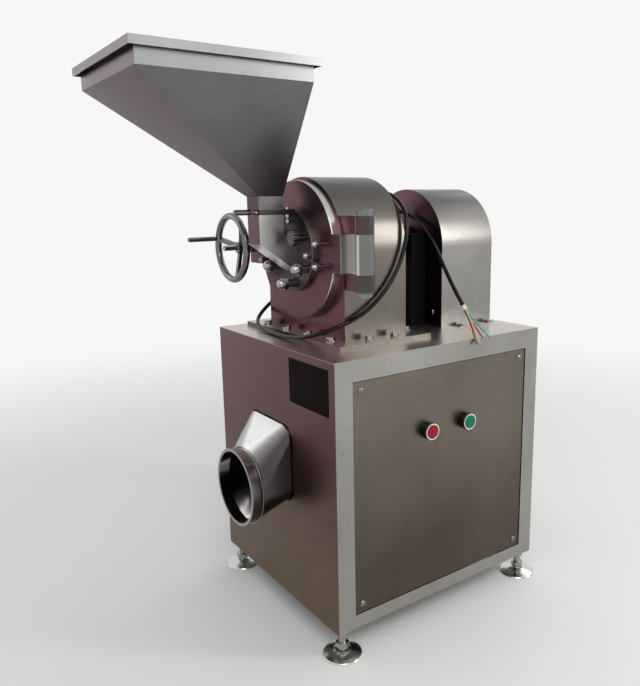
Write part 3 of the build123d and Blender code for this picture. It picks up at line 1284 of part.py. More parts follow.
def belt_cover():
    t = COVER_SHEET
    cover = arch(COVER_R, COVER_FRONT, COVER_REAR, CAB_TOP, SHAFT_Z)
    cover -= arch(COVER_R - t, COVER_FRONT + t, COVER_REAR - t, CAB_TOP - t, SHAFT_Z)
    cover -= rod(0, SHAFT_Z, COVER_FRONT - 1, COVER_FRONT + t + 1, PULLEY_SHAFT_R + 4.0)
    screws = []
    for x, y in cover_tab_places():
        side = 1 if x > 0 else -1
        x0, x1 = sorted((side * COVER_R, side * (COVER_R + COVER_TAB)))
        cover += block(x0, x1, y - COVER_TAB / 2, y + COVER_TAB / 2, CAB_TOP, CAB_TOP + t)
        cover -= post(x, y, CAB_TOP - 1, CAB_TOP + t + 1, PANEL_SCREW_R + SEAT_GAP)
        screws.append(Pos(x, y, CAB_TOP + t) * dome_screw(t + TOP_PLATE - SEAT_GAP))
    z = CAB_TOP + COVER_SCREW_RISE
    cover -= rod(COVER_SCREW_X, z, COVER_FRONT - 1, COVER_FRONT + t + 1, PANEL_SCREW_R + SEAT_GAP)
    screws.append(facing_front(COVER_SCREW_X, COVER_FRONT, z) * dome_screw())
    save("belt_cover", cover)
    return screws


# Powder outlet
def duct_section(width, height, corner, x, y, z):
    return facing_front(x, y, z) * RectangleRounded(width, height, corner)


def duct_solid(inset):
    """The square-to-round transition, drawn in by an inset."""
    inner_end = CAB_FRONT + DUCT_INSET
    root = CAB_FRONT - 6.0
    neck = OUTLET_FRONT + OUTLET_TUBE
    extra = 2.0 if inset else 0.0
    wide = DUCT_WIDTH - 2 * inset
    tall = DUCT_HEIGHT - 2 * inset
    corner = DUCT_CORNER - inset
    round_size = 2 * (OUTLET_R - inset)
    square = duct_section(wide, tall, corner, DUCT_X, root, DUCT_Z)
    circle = duct_section(round_size, round_size, round_size / 2 - 1.5, OUTLET_X, neck, OUTLET_Z)
    body = loft([square, circle], ruled=True)
    body += extrude(square, inner_end - root + extra, dir=(0, 1, 0))
    if inset:
        body += extrude(circle, extra, dir=(0, -1, 0))
    return body


def powder_outlet():
    save("outlet_duct", duct_solid(0) - duct_solid(DUCT_WALL))
    ring = turned(
        [
            (OUTLET_R - OUTLET_WALL, 0), (OUTLET_R, 0), (OUTLET_R, OUTLET_TUBE - OUTLET_LIP),
            (OUTLET_LIP_R, OUTLET_TUBE - OUTLET_LIP), (OUTLET_LIP_R, OUTLET_TUBE),
            (OUTLET_R - OUTLET_WALL, OUTLET_TUBE),
        ]
    )
    save("outlet_ring", facing_front(OUTLET_X, OUTLET_FRONT + OUTLET_TUBE, OUTLET_Z) * ring)
    discharge_chute()


def discharge_chute():
    flange_y = CAB_FRONT + DUCT_INSET
    flange_thick = 3.0
    t = CHUTE_SIDE
    back = flange_y + flange_thick
    half = THROAT_WIDTH / 2 + t
    high = DUCT_Z + DUCT_HEIGHT / 2
    low = DUCT_Z - DUCT_HEIGHT / 2
    shoulder = CAB_TOP - CHUTE_SHOULDER
    outline = [
        (back, high), (THROAT_FRONT - t, shoulder), (THROAT_FRONT - t, TUBE_TOP),
        (THROAT_REAR + t, TUBE_TOP), (THROAT_REAR + t, shoulder), (back, low),
    ]
    body = side_profile(outline, -half, half)
    openings = [body.faces().sort_by(Axis.Z)[-1], body.faces().sort_by(Axis.Y)[0]]
    chute = offset(body, amount=-t, openings=openings)
    flange = duct_section(DUCT_WIDTH + 24.0, DUCT_HEIGHT + 24.0, 8.0, DUCT_X, back, DUCT_Z)
    flange = extrude(flange, flange_thick, dir=(0, -1, 0))
    hole = duct_section(THROAT_WIDTH - 2.0, DUCT_HEIGHT - 8.0, DUCT_CORNER - 12.0, 0, back + 1, DUCT_Z)
    flange -= extrude(hole, flange_thick + 2, dir=(0, -1, 0))
    save("discharge_chute", chute + flange)


# Mains cable
def cable_route():
    """Points of the cable from its gland, round the front of the mill and back over the bearing."""
    return [
        (GLAND_X, GLAND_Y, GLAND_TOP), (GLAND_X, GLAND_Y, 824),
        (-200, 212, 866), (-208, 150, 886), (-213, 82, 876), (-215, 16, 844), (-212, -44, 806),
        (-182, -88, 778), (-128, -103, 765), (-68, -106, 762), (-8, -106, 762), (52, -106, 765),
        (112, -104, 775), (166, -88, 792), (200, -46, 812), (205, 8, 832), (204, 56, 861),
        (203, 98, 900), (203, 130, 946), (203, 152, 1000), (198, 164, 1054), (174, 171, 1098),
        (130, 173, 1128), (84, 176, 1136), (39, 183, 1128), (1, 206, 1114), (-17, 247, 1101),
        (-5, 292, 1088), (36, 316, 1071), (90, 311, 1046), (140, 299, 1011), (184, 288, 968),
        (224, 281, 921), (262, 278, 873), (298, 280, 829),
    ]


def core_routes():
    """The bared cores, each leaving the jacket's end along it and then falling over the edge."""
    route = [Vector(*point) for point in cable_route()]
    end = Plane(route[-1], z_dir=route[-1] - route[-2])
    ends = {
        (1, 1): ((327, 304, 785), (344, 325, 756)),
        (1, -1): ((327, 288, 786), (344, 299, 758)),
        (-1, 1): ((326, 287, 776), (342, 290, 745)),
        (-1, -1): ((324, 283, 776), (340, 280, 742)),
    }
    routes = []
    for (a, b), last in ends.items():
        near = [
            end.from_local_coords(Vector(a * CORE_SPREAD, b * CORE_SPREAD, reach)) for reach in (0, CORE_EXIT)
        ]
        routes.append([tuple(point) for point in near] + list(last))
    return routes


def cord_path(points):
    """Straight runs joined by arcs as large as their runs allow, and those arcs' radii."""
    radii = []
    for before, at, after in zip(points, points[1:], points[2:]):
        first = Vector(*at) - Vector(*before)
        second = Vector(*after) - Vector(*at)
        half_turn = radians(first.get_angle(second)) / 2
        radii.append(0.45 * min(first.length, second.length) / tan(half_turn))
    return FilletPolyline(*points, radius=radii), radii


def cord(points, r):
    path, radii = cord_path(points)
    section = Plane(path @ 0, z_dir=path % 0) * Circle(r)
    tube = sweep(section, path)
    ideal = pi * r * r * path.length
    print(f"cord of {path.length:.0f} mm, least radius {min(radii):.0f} mm, volume {tube.volume / ideal:.4f}")
    return tube


def mains_cable():
    route = cable_route()
    save("power_cable", cord(route, CABLE_R))
    save("cable_cores", *[cord(points, CORE_R) for points in core_routes()])
    strain_relief()


def strain_relief():
    """The cable's gland: a hexagon on the top plate and a sleeve that tapers to the jacket."""
    base = CAB_TOP + GLAND_BASE
    wide = GLAND_AF / 2 - 1.0
    narrow = CABLE_R + 1.5
    gland = upright_hex(GLAND_X, GLAND_Y, CAB_TOP, base, GLAND_AF)
    gland += Pos(GLAND_X, GLAND_Y, base) * Cone(
        wide, narrow, GLAND_TAPER, align=(Align.CENTER, Align.CENTER, Align.MIN)
    )
    save("cable_gland", gland)


def main():
    os.makedirs("parts", exist_ok=True)
    cabinet_frame()
    screws = cabinet_panels()
    cabinet_top()
    feet()
    rating_plate()
    buttons()
    base_plate()
    mill_housing()
    screen_ring()
    bearings()
    bearing_body()
    main_shaft()
    drive()
    motor()
    rotor()
    fixed_disc()
    door_plate()
    hinge()
    door_fittings()
    star_knob()
    clamp()
    feed_chute()
    gate()
    spout_and_hopper()
    screws += belt_cover()
    save("sheet_screws", *screws)
    powder_outlet()
    mains_cable()


main()
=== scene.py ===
"""Finishes, cable, light and camera for the powder mill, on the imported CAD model."""
import bmesh
import bpy
from math import cos, pi, radians, sin, tau
from mathutils import Matrix, Vector


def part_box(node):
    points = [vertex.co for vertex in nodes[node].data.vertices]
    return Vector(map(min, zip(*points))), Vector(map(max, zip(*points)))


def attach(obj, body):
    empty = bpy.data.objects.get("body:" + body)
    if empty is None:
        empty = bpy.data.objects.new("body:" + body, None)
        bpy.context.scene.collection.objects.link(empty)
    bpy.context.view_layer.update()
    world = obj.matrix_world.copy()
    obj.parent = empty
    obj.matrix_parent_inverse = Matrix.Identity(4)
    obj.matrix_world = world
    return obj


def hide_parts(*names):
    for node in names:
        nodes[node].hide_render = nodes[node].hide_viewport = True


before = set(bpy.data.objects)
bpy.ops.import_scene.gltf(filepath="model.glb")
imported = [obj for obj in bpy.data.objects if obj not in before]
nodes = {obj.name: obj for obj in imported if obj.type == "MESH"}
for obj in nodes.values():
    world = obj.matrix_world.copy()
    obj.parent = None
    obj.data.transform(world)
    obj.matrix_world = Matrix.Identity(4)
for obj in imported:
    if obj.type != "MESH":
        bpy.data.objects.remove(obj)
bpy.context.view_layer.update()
MM = 0.001


# Shader maths on sockets
class Value:
    """A shader socket or plain number that adds nodes as it is used in an expression."""

    def __init__(self, finish, socket):
        self.finish = finish
        self.socket = socket

    def is_vector(self):
        return getattr(self.socket, "type", "") in ("VECTOR", "RGBA")

    def maths(self, operation, *others):
        parts = [self] + list(others)
        vector = any(isinstance(p, tuple) or (isinstance(p, Value) and p.is_vector()) for p in parts)
        kind = "ShaderNodeVectorMath" if vector else "ShaderNodeMath"
        made = self.finish.node(kind, {"operation": operation}, dict(enumerate(parts)))
        return Value(self.finish, made.outputs[0])

    def __add__(self, other):
        return self.maths("ADD", other)

    def __radd__(self, other):
        return self.maths("ADD", other)

    def __sub__(self, other):
        return self.maths("SUBTRACT", other)

    def __rsub__(self, other):
        negative = self.maths("MULTIPLY", -1.0)
        return negative.maths("ADD", other)

    def __mul__(self, other):
        return self.maths("MULTIPLY", other)

    def __rmul__(self, other):
        return self.maths("MULTIPLY", other)

    def __truediv__(self, other):
        return self.maths("DIVIDE", other)

    def __pow__(self, other):
        return self.maths("POWER", other)

    def ramp(self, low, high):
        """0 below low, 1 above high, smooth between."""
        made = self.finish.node(
            "ShaderNodeMapRange",
            {"interpolation_type": "SMOOTHSTEP"},
            {"Value": self, "From Min": low, "From Max": high},
        )
        return Value(self.finish, made.outputs["Result"])

    def mix(self, first, second):
        """The colour first where this is 0 and second where it is 1."""
        made = self.finish.node(
            "ShaderNodeMix", {"data_type": "RGBA"}, {"Factor": self, 6: first, 7: second}
        )
        return Value(self.finish, made.outputs[2])


class Finish:
    """One procedural material round a Principled shader."""

    def __init__(self, name, colour, metallic=0.0, roughness=0.4, coat=0.0):
        self.material = bpy.data.materials.new(name)
        self.material.use_nodes = True
        self.tree = self.material.node_tree
        self.shader = self.tree.nodes["Principled BSDF"]
        self.set("Base Color", colour)
        self.set("Metallic", metallic)
        self.set("Roughness", roughness)
        self.set("Coat Weight", coat)

    def node(self, kind, settings, inputs):
        """A node of a type, its settings first, then the values or links of its sockets."""
        made = self.tree.nodes.new(kind)
        for name, value in settings.items():
            if name == "stops":
                while len(made.color_ramp.elements) < len(value):
                    made.color_ramp.elements.new(0.5)
                for element, (place, colour) in zip(made.color_ramp.elements, value):
                    element.position = place
                    element.color = (*colour, 1.0)
            else:
                setattr(made, name, value)
        for name, value in inputs.items():
            self.put(made.inputs[name], value)
        return made

    def put(self, socket, value):
        if isinstance(value, Value):
            self.tree.links.new(value.socket, socket)
        elif isinstance(value, tuple) and socket.type == "RGBA" and len(value) == 3:
            socket.default_value = (*value, 1.0)
        else:
            socket.default_value = value

    def set(self, name, value):
        self.put(self.shader.inputs[name], value)

    def place(self):
        """The position on the piece, in metres, in the object's own frame."""
        return Value(self, self.node("ShaderNodeTexCoord", {}, {}).outputs["Object"])

    def axis(self, letter):
        return self.part_of(self.place(), letter)

    def facing(self, letter):
        """How far the surface faces along one of the piece's own axes, from -1 to 1."""
        normal = Value(self, self.node("ShaderNodeTexCoord", {}, {}).outputs["Normal"])
        return self.part_of(normal, letter)

    def part_of(self, vector, letter):
        made = self.node("ShaderNodeSeparateXYZ", {}, {0: vector})
        return Value(self, made.outputs[letter])

    def scaled(self, colour, shade):
        made = self.node("ShaderNodeVectorMath", {"operation": "SCALE"}, {0: colour, "Scale": shade})
        return Value(self, made.outputs[0])

    def noise(self, scale, detail=2.0, rough=0.5, where=None):
        made = self.node(
            "ShaderNodeTexNoise",
            {},
            {"Vector": where or self.place(), "Scale": scale, "Detail": detail, "Roughness": rough},
        )
        return Value(self, made.outputs["Fac"])

    def bump(self, height, distance, strength=1.0):
        made = self.node(
            "ShaderNodeBump", {}, {"Height": height, "Distance": distance, "Strength": strength}
        )
        self.put(self.shader.inputs["Normal"], Value(self, made.outputs["Normal"]))


# Finishes
GRAIN_ALONG = 3.0
GRAIN_ACROSS = 760.0
GRAIN_DEPTH = 0.00001
# Heights, in metres, over which the painted light and shade towards the bottom fades out.
PAINTED_LOW_LIGHT_SPAN = (0.15, 0.60)
COLLAR_DEPTH = 51.5 * MM
collar_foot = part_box("hopper_rim")[1].z - COLLAR_DEPTH
# How squarely a face must look towards -Y to take the painted front reflection: only flat front faces.
FLAT_FRONT_REFLECTION_SPAN = (0.93, 0.99)


def brushed(
    name, colour, roughness, grain="Z", painted_front_reflection=None, painted_top_light=None, painted_low_light_and_shade=None, painted_under_shade=None, painted_collar_highlight=None,
    front_reflection_span=(0.30, 0.95), top_light_span=(0.45, 0.95), soil=0.45, clouding=0.70,
):
    """Stainless sheet with polishing lines, handling marks and cloudy patches, and painted light and shade by
    facing and height: a painted reflection on faces towards -Y, painted light and shade on upward faces, on
    downward faces and towards the bottom, and a painted highlight on the hopper's collar.
    """
    finish = Finish(name, colour, metallic=1.0, roughness=roughness)
    across = {
        "X": (GRAIN_ACROSS, GRAIN_ALONG, GRAIN_ALONG),
        "Y": (GRAIN_ALONG, GRAIN_ACROSS, GRAIN_ALONG),
        "Z": (GRAIN_ALONG, GRAIN_ALONG, GRAIN_ACROSS),
    }[grain]
    stretched = finish.place() * across
    lines = finish.noise(1.0, 3.0, 0.6, stretched)
    clouds = finish.noise(3.4, 3.0, 0.55)
    marks = finish.noise(30.0, 4.0, 0.7).ramp(0.58, 0.78)
    toned = colour
    # Painted light and shade towards the bottom: darker on the side and rear panels, lighter and browner on
    # the front panel.
    if painted_low_light_and_shade is not None:
        toned = (1.0 - finish.axis("Z").ramp(*PAINTED_LOW_LIGHT_SPAN)).mix(toned, painted_low_light_and_shade)
    # Painted light and shade on upward faces: lighter on most parts, darker on the housing, belt cover, door
    # and chute.
    if painted_top_light is not None:
        toned = finish.facing("Z").ramp(*top_light_span).mix(toned, painted_top_light)
    # Painted highlight: above its foot, the hopper's collar is a lighter copy of the same sheet.
    if painted_collar_highlight is not None:
        toned = finish.axis("Z").ramp(collar_foot - MM, collar_foot + MM).mix(toned, painted_collar_highlight)
    # Painted shade on downward faces.
    if painted_under_shade is not None:
        toned = (finish.facing("Z") * -1.0).ramp(0.05, 0.25).mix(toned, painted_under_shade)
    # Painted reflection on faces towards -Y: dark and maroon on most parts, lighter on the door knuckle,
    # spigot and duct.
    if painted_front_reflection is not None:
        toned = (finish.facing("Y") * -1.0).ramp(*front_reflection_span).mix(toned, painted_front_reflection)
    # The handling marks darken the colour that carries the painted light and shade.
    smeared_and_painted_light = finish.scaled(toned, 1.0 - marks * soil * 0.5)
    shade = 1.0 + (lines - 0.5) * 0.16 + (clouds - 0.5) * clouding
    finish.set("Base Color", finish.scaled(smeared_and_painted_light, shade))
    finish.set("Roughness", roughness + (lines - 0.5) * 0.08 + (clouds - 0.5) * 0.16 + marks * 0.08)
    finish.bump(lines, GRAIN_DEPTH)
    return finish.material


def turned_metal(name, colour, roughness, pitch=0.0006, depth=0.00001, barrel=None):
    """Machined steel with faint tool marks and oily patches, and another tone on a barrel along X."""
    finish = Finish(name, colour, metallic=1.0, roughness=roughness)
    cut = finish.noise(1.0 / pitch, 1.0, 0.4)
    patches = finish.noise(22.0, 3.0, 0.6)
    shade = 1.0 + (cut - 0.5) * 0.08 + (patches - 0.5) * 0.22
    toned = colour
    if barrel is not None:
        toned = finish.facing("X").ramp(0.4, 0.8).mix(barrel, colour)
    finish.set("Base Color", finish.scaled(toned, shade))
    finish.set("Roughness", roughness + (patches - 0.5) * 0.14)
    finish.bump(cut, depth)
    return finish.material


def moulded(name, colour, roughness, grain=1500.0, depth=0.00002, coat=0.0, specular=0.5):
    """Plastic, rubber or paint with a fine moulded or sprayed texture."""
    finish = Finish(name, colour, roughness=roughness, coat=coat)
    finish.set("Specular IOR Level", specular)
    fine = finish.noise(grain, 2.0, 0.6)
    wide = finish.noise(18.0, 3.0, 0.6)
    shade = 1.0 + (wide - 0.5) * 0.14
    finish.set("Base Color", finish.scaled(colour, shade))
    finish.set("Roughness", roughness + (wide - 0.5) * 0.12)
    finish.bump(fine, depth)
    return finish.material


def cast(name, colour, roughness):
    """Dark cast iron with a sandy surface."""
    finish = Finish(name, colour, roughness=roughness)
    finish.set("Specular IOR Level", 0.10)
    sand = finish.noise(420.0, 4.0, 0.7)
    stains = finish.noise(14.0, 4.0, 0.6)
    finish.set("Base Color", (stains.ramp(0.4, 0.7) * 0.6).mix(colour, tuple(c * 0.55 for c in colour)))
    finish.set("Roughness", roughness + (sand - 0.5) * 0.2)
    finish.bump(sand, 0.0003)
    return finish.material


# The stainless finishes are one steel. Their base colours are set to the shade each part shows, from about
# 0.08 on the gate, hinge and duct to about 0.6 on the chute and door. That is painted shade and light, and
# the bright fasteners and the purple-tinted chrome are darkened as a painted dark reflection. After the
# grain, the colours given are the painted front reflection and then the painted light on upward faces.
FINISHES = {
    "panel": brushed("panel_steel", (0.165, 0.142, 0.118), 0.36, painted_low_light_and_shade=(0.095, 0.078, 0.062)),
    "frame": brushed("frame_steel", (0.33, 0.32, 0.30), 0.30, "Z", (0.13, 0.085, 0.09), (0.74, 0.73, 0.70)),
    "top": brushed("top_steel", (0.34, 0.31, 0.285), 0.32, "X", (0.22, 0.135, 0.145), (0.50, 0.465, 0.43)),
    # Painted reflection: the front panel's steel is given a dark maroon base colour.
    "painted_front_reflection": brushed("front_steel_painted_reflection", (0.120, 0.058, 0.062), 0.34, "X", painted_low_light_and_shade=(0.150, 0.105, 0.070)),
    "hopper": brushed(
        "hopper_steel", (0.165, 0.163, 0.16), 0.32, "Z", (0.060, 0.028, 0.034), painted_collar_highlight=(0.38, 0.388, 0.396),
        front_reflection_span=(0.15, 0.55),
    ),
    "rim": brushed("rim_steel", (0.44, 0.445, 0.45), 0.28, "Z", (0.06, 0.034, 0.042), (0.60, 0.60, 0.60)),
    "chute": brushed(
        "chute_steel", (0.56, 0.55, 0.54), 0.28, "Z", (0.11, 0.05, 0.06), (0.50, 0.49, 0.48),
        front_reflection_span=FLAT_FRONT_REFLECTION_SPAN,
    ),
    "gate": brushed("gate_steel", (0.085, 0.082, 0.08), 0.24, "Z", (0.05, 0.026, 0.03), (0.46, 0.45, 0.44)),
    "housing": brushed(
        "housing_steel", (0.165, 0.148, 0.130), 0.29, "Y", (0.110, 0.040, 0.054), (0.054, 0.057, 0.060),
    ),
    "cover": brushed(
        "cover_steel", (0.27, 0.26, 0.245), 0.30, "Y", (0.115, 0.060, 0.075), (0.046, 0.050, 0.054),
    ),
    "door": brushed(
        "door_steel", (0.60, 0.59, 0.575), 0.30, "X", (0.092, 0.040, 0.050), (0.38, 0.37, 0.37), clouding=1.5,
    ),
    "block": brushed(
        "block_steel", (0.19, 0.186, 0.178), 0.22, "Y", (0.50, 0.49, 0.475), (0.40, 0.39, 0.38),
        front_reflection_span=FLAT_FRONT_REFLECTION_SPAN,
    ),
    "hinge": brushed(
        "hinge_steel", (0.078, 0.075, 0.072), 0.22, "Y", (0.105, 0.045, 0.056), (0.36, 0.35, 0.345),
        front_reflection_span=FLAT_FRONT_REFLECTION_SPAN,
    ),
    "lug": brushed("lug_steel", (0.16, 0.13, 0.13), 0.30, "X", (0.095, 0.042, 0.046), (0.36, 0.35, 0.35)),
    "duct": brushed(
        "duct_steel", (0.085, 0.076, 0.082), 0.24, "X", (0.16, 0.11, 0.12), (0.82, 0.81, 0.82),
        painted_under_shade=(0.045, 0.038, 0.03), front_reflection_span=FLAT_FRONT_REFLECTION_SPAN, top_light_span=(0.40, 0.92), clouding=1.3,
    ),
    "spigot": brushed(
        "spigot_steel", (0.15, 0.145, 0.14), 0.18, "X", (0.36, 0.35, 0.34), (0.62, 0.615, 0.61),
    ),
    "base": brushed("base_steel", (0.185, 0.165, 0.148), 0.32, "X", (0.14, 0.08, 0.085), (0.42, 0.40, 0.375)),
    "flange": brushed(
        "flange_steel", (0.30, 0.29, 0.28), 0.30, "X", (0.050, 0.036, 0.037), (0.38, 0.37, 0.36),
    ),
    "foot": turned_metal("foot_steel", (0.60, 0.59, 0.58), 0.20),
    "inner": brushed("inner_steel", (0.20, 0.195, 0.19), 0.42, "Z"),
    "machined": turned_metal("machined_steel", (0.34, 0.335, 0.33), 0.30),
    "bright": turned_metal("bright_steel", (0.36, 0.355, 0.35), 0.14),
    "pin": turned_metal("pin_steel", (0.20, 0.195, 0.185), 0.20),
    "chrome": turned_metal("chrome_plate", (0.165, 0.155, 0.165), 0.11),
    "bezel": turned_metal("bezel_steel", (0.74, 0.73, 0.72), 0.18, barrel=(0.035, 0.034, 0.034)),
    "blade": turned_metal("blade_steel", (0.50, 0.49, 0.48), 0.24),
    "iron": cast("cast_iron", (0.0035, 0.0035, 0.0038), 0.55),
    "motor": moulded("motor_paint", (0.045, 0.10, 0.14), 0.42),
    "plate": moulded("blank_plate", (0.0055, 0.0014, 0.002), 0.34, 900.0, 0.00001, specular=0.02),
    "rubber": moulded("belt_rubber", (0.018, 0.018, 0.018), 0.7),
    "jacket": moulded("cable_jacket", (0.0008, 0.0008, 0.001), 0.14, 2200.0, 0.00001, specular=0.22),
    "gland": moulded("gland_plastic", (0.02, 0.02, 0.021), 0.4),
    "brass": turned_metal("nipple_brass", (0.62, 0.43, 0.17), 0.28),
    "copper": turned_metal("strand_copper", (0.55, 0.25, 0.14), 0.32),
    "red": moulded("stop_red", (0.27, 0.004, 0.008), 0.26, 900.0, 0.000004, specular=0.2),
    "green": moulded("start_green", (0.002, 0.155, 0.075), 0.26, 900.0, 0.000004, specular=0.2),
    "tape": moulded("white_tape", (0.66, 0.65, 0.62), 0.5),
    "core_red": moulded("core_red", (0.36, 0.02, 0.03), 0.3, 1500.0, 0.00001, 0.2),
    "core_green": moulded("core_green", (0.012, 0.34, 0.22), 0.3, 1500.0, 0.00001, 0.2),
    "core_yellow": moulded("core_yellow", (0.60, 0.42, 0.20), 0.3, 1500.0, 0.00001, 0.2),
    "core_brown": moulded("core_brown", (0.07, 0.026, 0.014), 0.3, 1500.0, 0.00001, 0.2),
}

WEARS = {
    "panel": ("left_panel", "rear_panel", "right_panel"),
    "frame": ("cabinet_posts", "cabinet_rails"),
    "top": ("cabinet_top",),
    "painted_front_reflection": ("front_panel",),
    "hopper": ("hopper",),
    "rim": ("hopper_rim",),
    "chute": ("feed_chute",),
    "gate": ("gate_frame",),
    "blade": ("gate_blade",),
    "base": ("mill_base_plate",),
    "flange": ("door_flange",),
    "bezel": ("button_holders",),
    "housing": ("mill_housing",),
    "cover": ("belt_cover",),
    "door": ("door_plate",),
    "block": ("door_knuckle",),
    "hinge": ("hinge_brackets",),
    "lug": ("clamp_lug",),
    "duct": ("outlet_duct",),
    "spigot": ("outlet_ring",),
    "inner": ("discharge_chute", "motor_bed", "screen_ring"),
    "machined": ("fixed_disc", "rotor", "main_shaft", "motor_shaft", "rotor_nut", "bearing_inner_races",
                 "bearing_outer_races"),
    "foot": ("foot_discs",),
    "bright": ("foot_studs", "base_bolts", "door_nuts", "gate_bolts",
               "clamp_sleeve", "clamp_spindle"),
    "pin": ("hinge_pin", "sheet_screws"),
    "chrome": ("handwheel", "crank_grip", "gate_grip", "star_knob"),
    "iron": ("bearing_housing", "bearing_support", "mill_pulley", "motor_pulley"),
    "motor": ("motor_body", "motor_cowl"),
    "plate": ("rating_plate",),
    "rubber": ("v_belts",),
    "gland": ("cable_gland",),
    "brass": ("grease_nipple",),
    "red": ("stop_button",),
    "green": ("start_button",),
}


def dress(node, finish):
    """Give a CAD node its finish."""
    mesh = nodes[node].data
    mesh.materials.clear()
    mesh.materials.append(FINISHES[finish])


for finish_name, members in WEARS.items():
    for member in members:
        dress(member, finish_name)


# Cable
CABLE_R = 5.5 * MM
CORE_R = 2.2 * MM
CORE_SPREAD = 2.25
CORE_EXIT = 22.0
MILL_MIDDLE = Vector((15.0, 12.0, 0.0))
CABLE_ROUTE = [
    (-196, 240, 786), (-196, 240, 824), (-200, 212, 866), (-208, 150, 886), (-213, 82, 876),
    (-215, 16, 844), (-212, -44, 806), (-182, -88, 778), (-128, -103, 765), (-68, -106, 762),
    (-8, -106, 762), (52, -106, 765), (112, -104, 775), (166, -88, 792), (200, -46, 812),
    (205, 8, 832), (204, 56, 861), (203, 98, 900), (203, 130, 946), (203, 152, 1000),
    (198, 164, 1054), (174, 171, 1098), (130, 173, 1128), (84, 176, 1136), (39, 183, 1128),
    (1, 206, 1114), (-17, 247, 1101), (-5, 292, 1088), (36, 316, 1071), (90, 311, 1046),
    (140, 299, 1011), (184, 288, 968), (224, 281, 921), (262, 278, 873), (298, 280, 829),
]
CORE_ENDS = {
    "core_green": (1, 1, (327, 304, 785), (344, 325, 756)),
    "core_red": (1, -1, (327, 288, 786), (344, 299, 758)),
    "core_yellow": (-1, 1, (326, 287, 776), (342, 290, 745)),
    "core_brown": (-1, -1, (324, 283, 776), (340, 280, 742)),
}


def cord_curve(name, points, radius, finish):
    """A round cord on one smooth spline through the route's points, in metres, which carry its radius."""
    curve = bpy.data.curves.new(name, "CURVE")
    curve.dimensions = "3D"
    curve.bevel_depth = 1.0
    curve.bevel_resolution = 5
    curve.use_fill_caps = True
    curve.resolution_u = 12
    spline = curve.splines.new("NURBS")
    spline.points.add(len(points) - 1)
    for point, place in zip(spline.points, points):
        point.co = (*place, 1.0)
        point.radius = radius
    spline.order_u = 3
    spline.use_endpoint_u = True
    piece = bpy.data.objects.new(name, curve)
    bpy.context.scene.collection.objects.link(piece)
    curve.materials.append(FINISHES[finish])
    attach(piece, "cabinet")
    return piece


def route_length(piece):
    """The length of a cord's smooth line."""
    bevel = piece.data.bevel_depth
    piece.data.bevel_depth = 0.0
    line = bpy.data.meshes.new_from_object(piece)
    piece.data.bevel_depth = bevel
    places = [v.co.copy() for v in line.vertices]
    bpy.data.meshes.remove(line)
    return sum((b - a).length for a, b in zip(places, places[1:]))


def placed(point):
    """A point of the mill's own drawing, in millimetres, as metres in the shared frame."""
    return (Vector(point) - MILL_MIDDLE) * MM


def made_piece(name, mesh, finish):
    """A new mesh piece on the cabinet."""
    mesh.materials.append(FINISHES[finish])
    piece = bpy.data.objects.new(name, mesh)
    bpy.context.scene.collection.objects.link(piece)
    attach(piece, "cabinet")
    return piece


def frame_across(way):
    """Two directions square to a way and to each other."""
    first = way.cross(Vector((0.0, 0.0, 1.0)))
    if first.length < 0.1:
        first = way.cross(Vector((1.0, 0.0, 0.0)))
    first.normalize()
    return first, way.cross(first).normalized()


def turned_ring(name, centre, way, profile, steps, swell):
    """A closed ring: a profile of (along, radius) turned about a way, its radius scaled by swell(angle)."""
    across, beside = frame_across(way)
    shape = bmesh.new()
    rings = []
    for step in range(steps):
        angle = tau * step / steps
        out = across * cos(angle) + beside * sin(angle)
        grown = swell(angle)
        rings.append([
            shape.verts.new(centre + way * along + out * radius * grown) for along, radius in profile
        ])
    count = len(profile)
    for step in range(steps):
        here, ahead = rings[step], rings[(step + 1) % steps]
        for i in range(count):
            j = (i + 1) % count
            shape.faces.new((here[i], here[j], ahead[j], ahead[i]))
    bmesh.ops.recalc_face_normals(shape, faces=shape.faces)
    mesh = bpy.data.meshes.new(name)
    shape.to_mesh(mesh)
    shape.free()
    for face in mesh.polygons:
        face.use_smooth = True
    return mesh


def strand_bundle(name, start, way, bundle_r, length):
    """Bare copper strands that splay a little as they leave the insulation."""
    across, beside = frame_across(way)
    spokes = [tau * k / STRAND_SIDES for k in range(STRAND_SIDES)]
    shape = bmesh.new()
    for turn in range(STRANDS):
        angle = tau * turn / STRANDS
        out = across * cos(angle) + beside * sin(angle)
        reach = length * (STRAND_REACH + STRAND_UNEVEN * cos(STRAND_PHASE * turn))
        rings = []
        for step in range(STRAND_STEPS + 1):
            t = step / STRAND_STEPS
            spread = bundle_r * (STRAND_PINCH + STRAND_SPLAY * t * t)
            centre = start + way * (reach * t - STRAND_ROOT) + out * spread
            rings.append([
                shape.verts.new(centre + (across * cos(spoke) + beside * sin(spoke)) * STRAND_R)
                for spoke in spokes
            ])
        for near, far in zip(rings, rings[1:]):
            for k in range(STRAND_SIDES):
                after = (k + 1) % STRAND_SIDES
                shape.faces.new((near[k], near[after], far[after], far[k]))
        shape.faces.new(rings[0])
        shape.faces.new(rings[-1])
    bmesh.ops.recalc_face_normals(shape, faces=shape.faces)
    mesh = bpy.data.meshes.new(name)
    shape.to_mesh(mesh)
    shape.free()
    for face in mesh.polygons:
        face.use_smooth = len(face.vertices) == 4
    return mesh


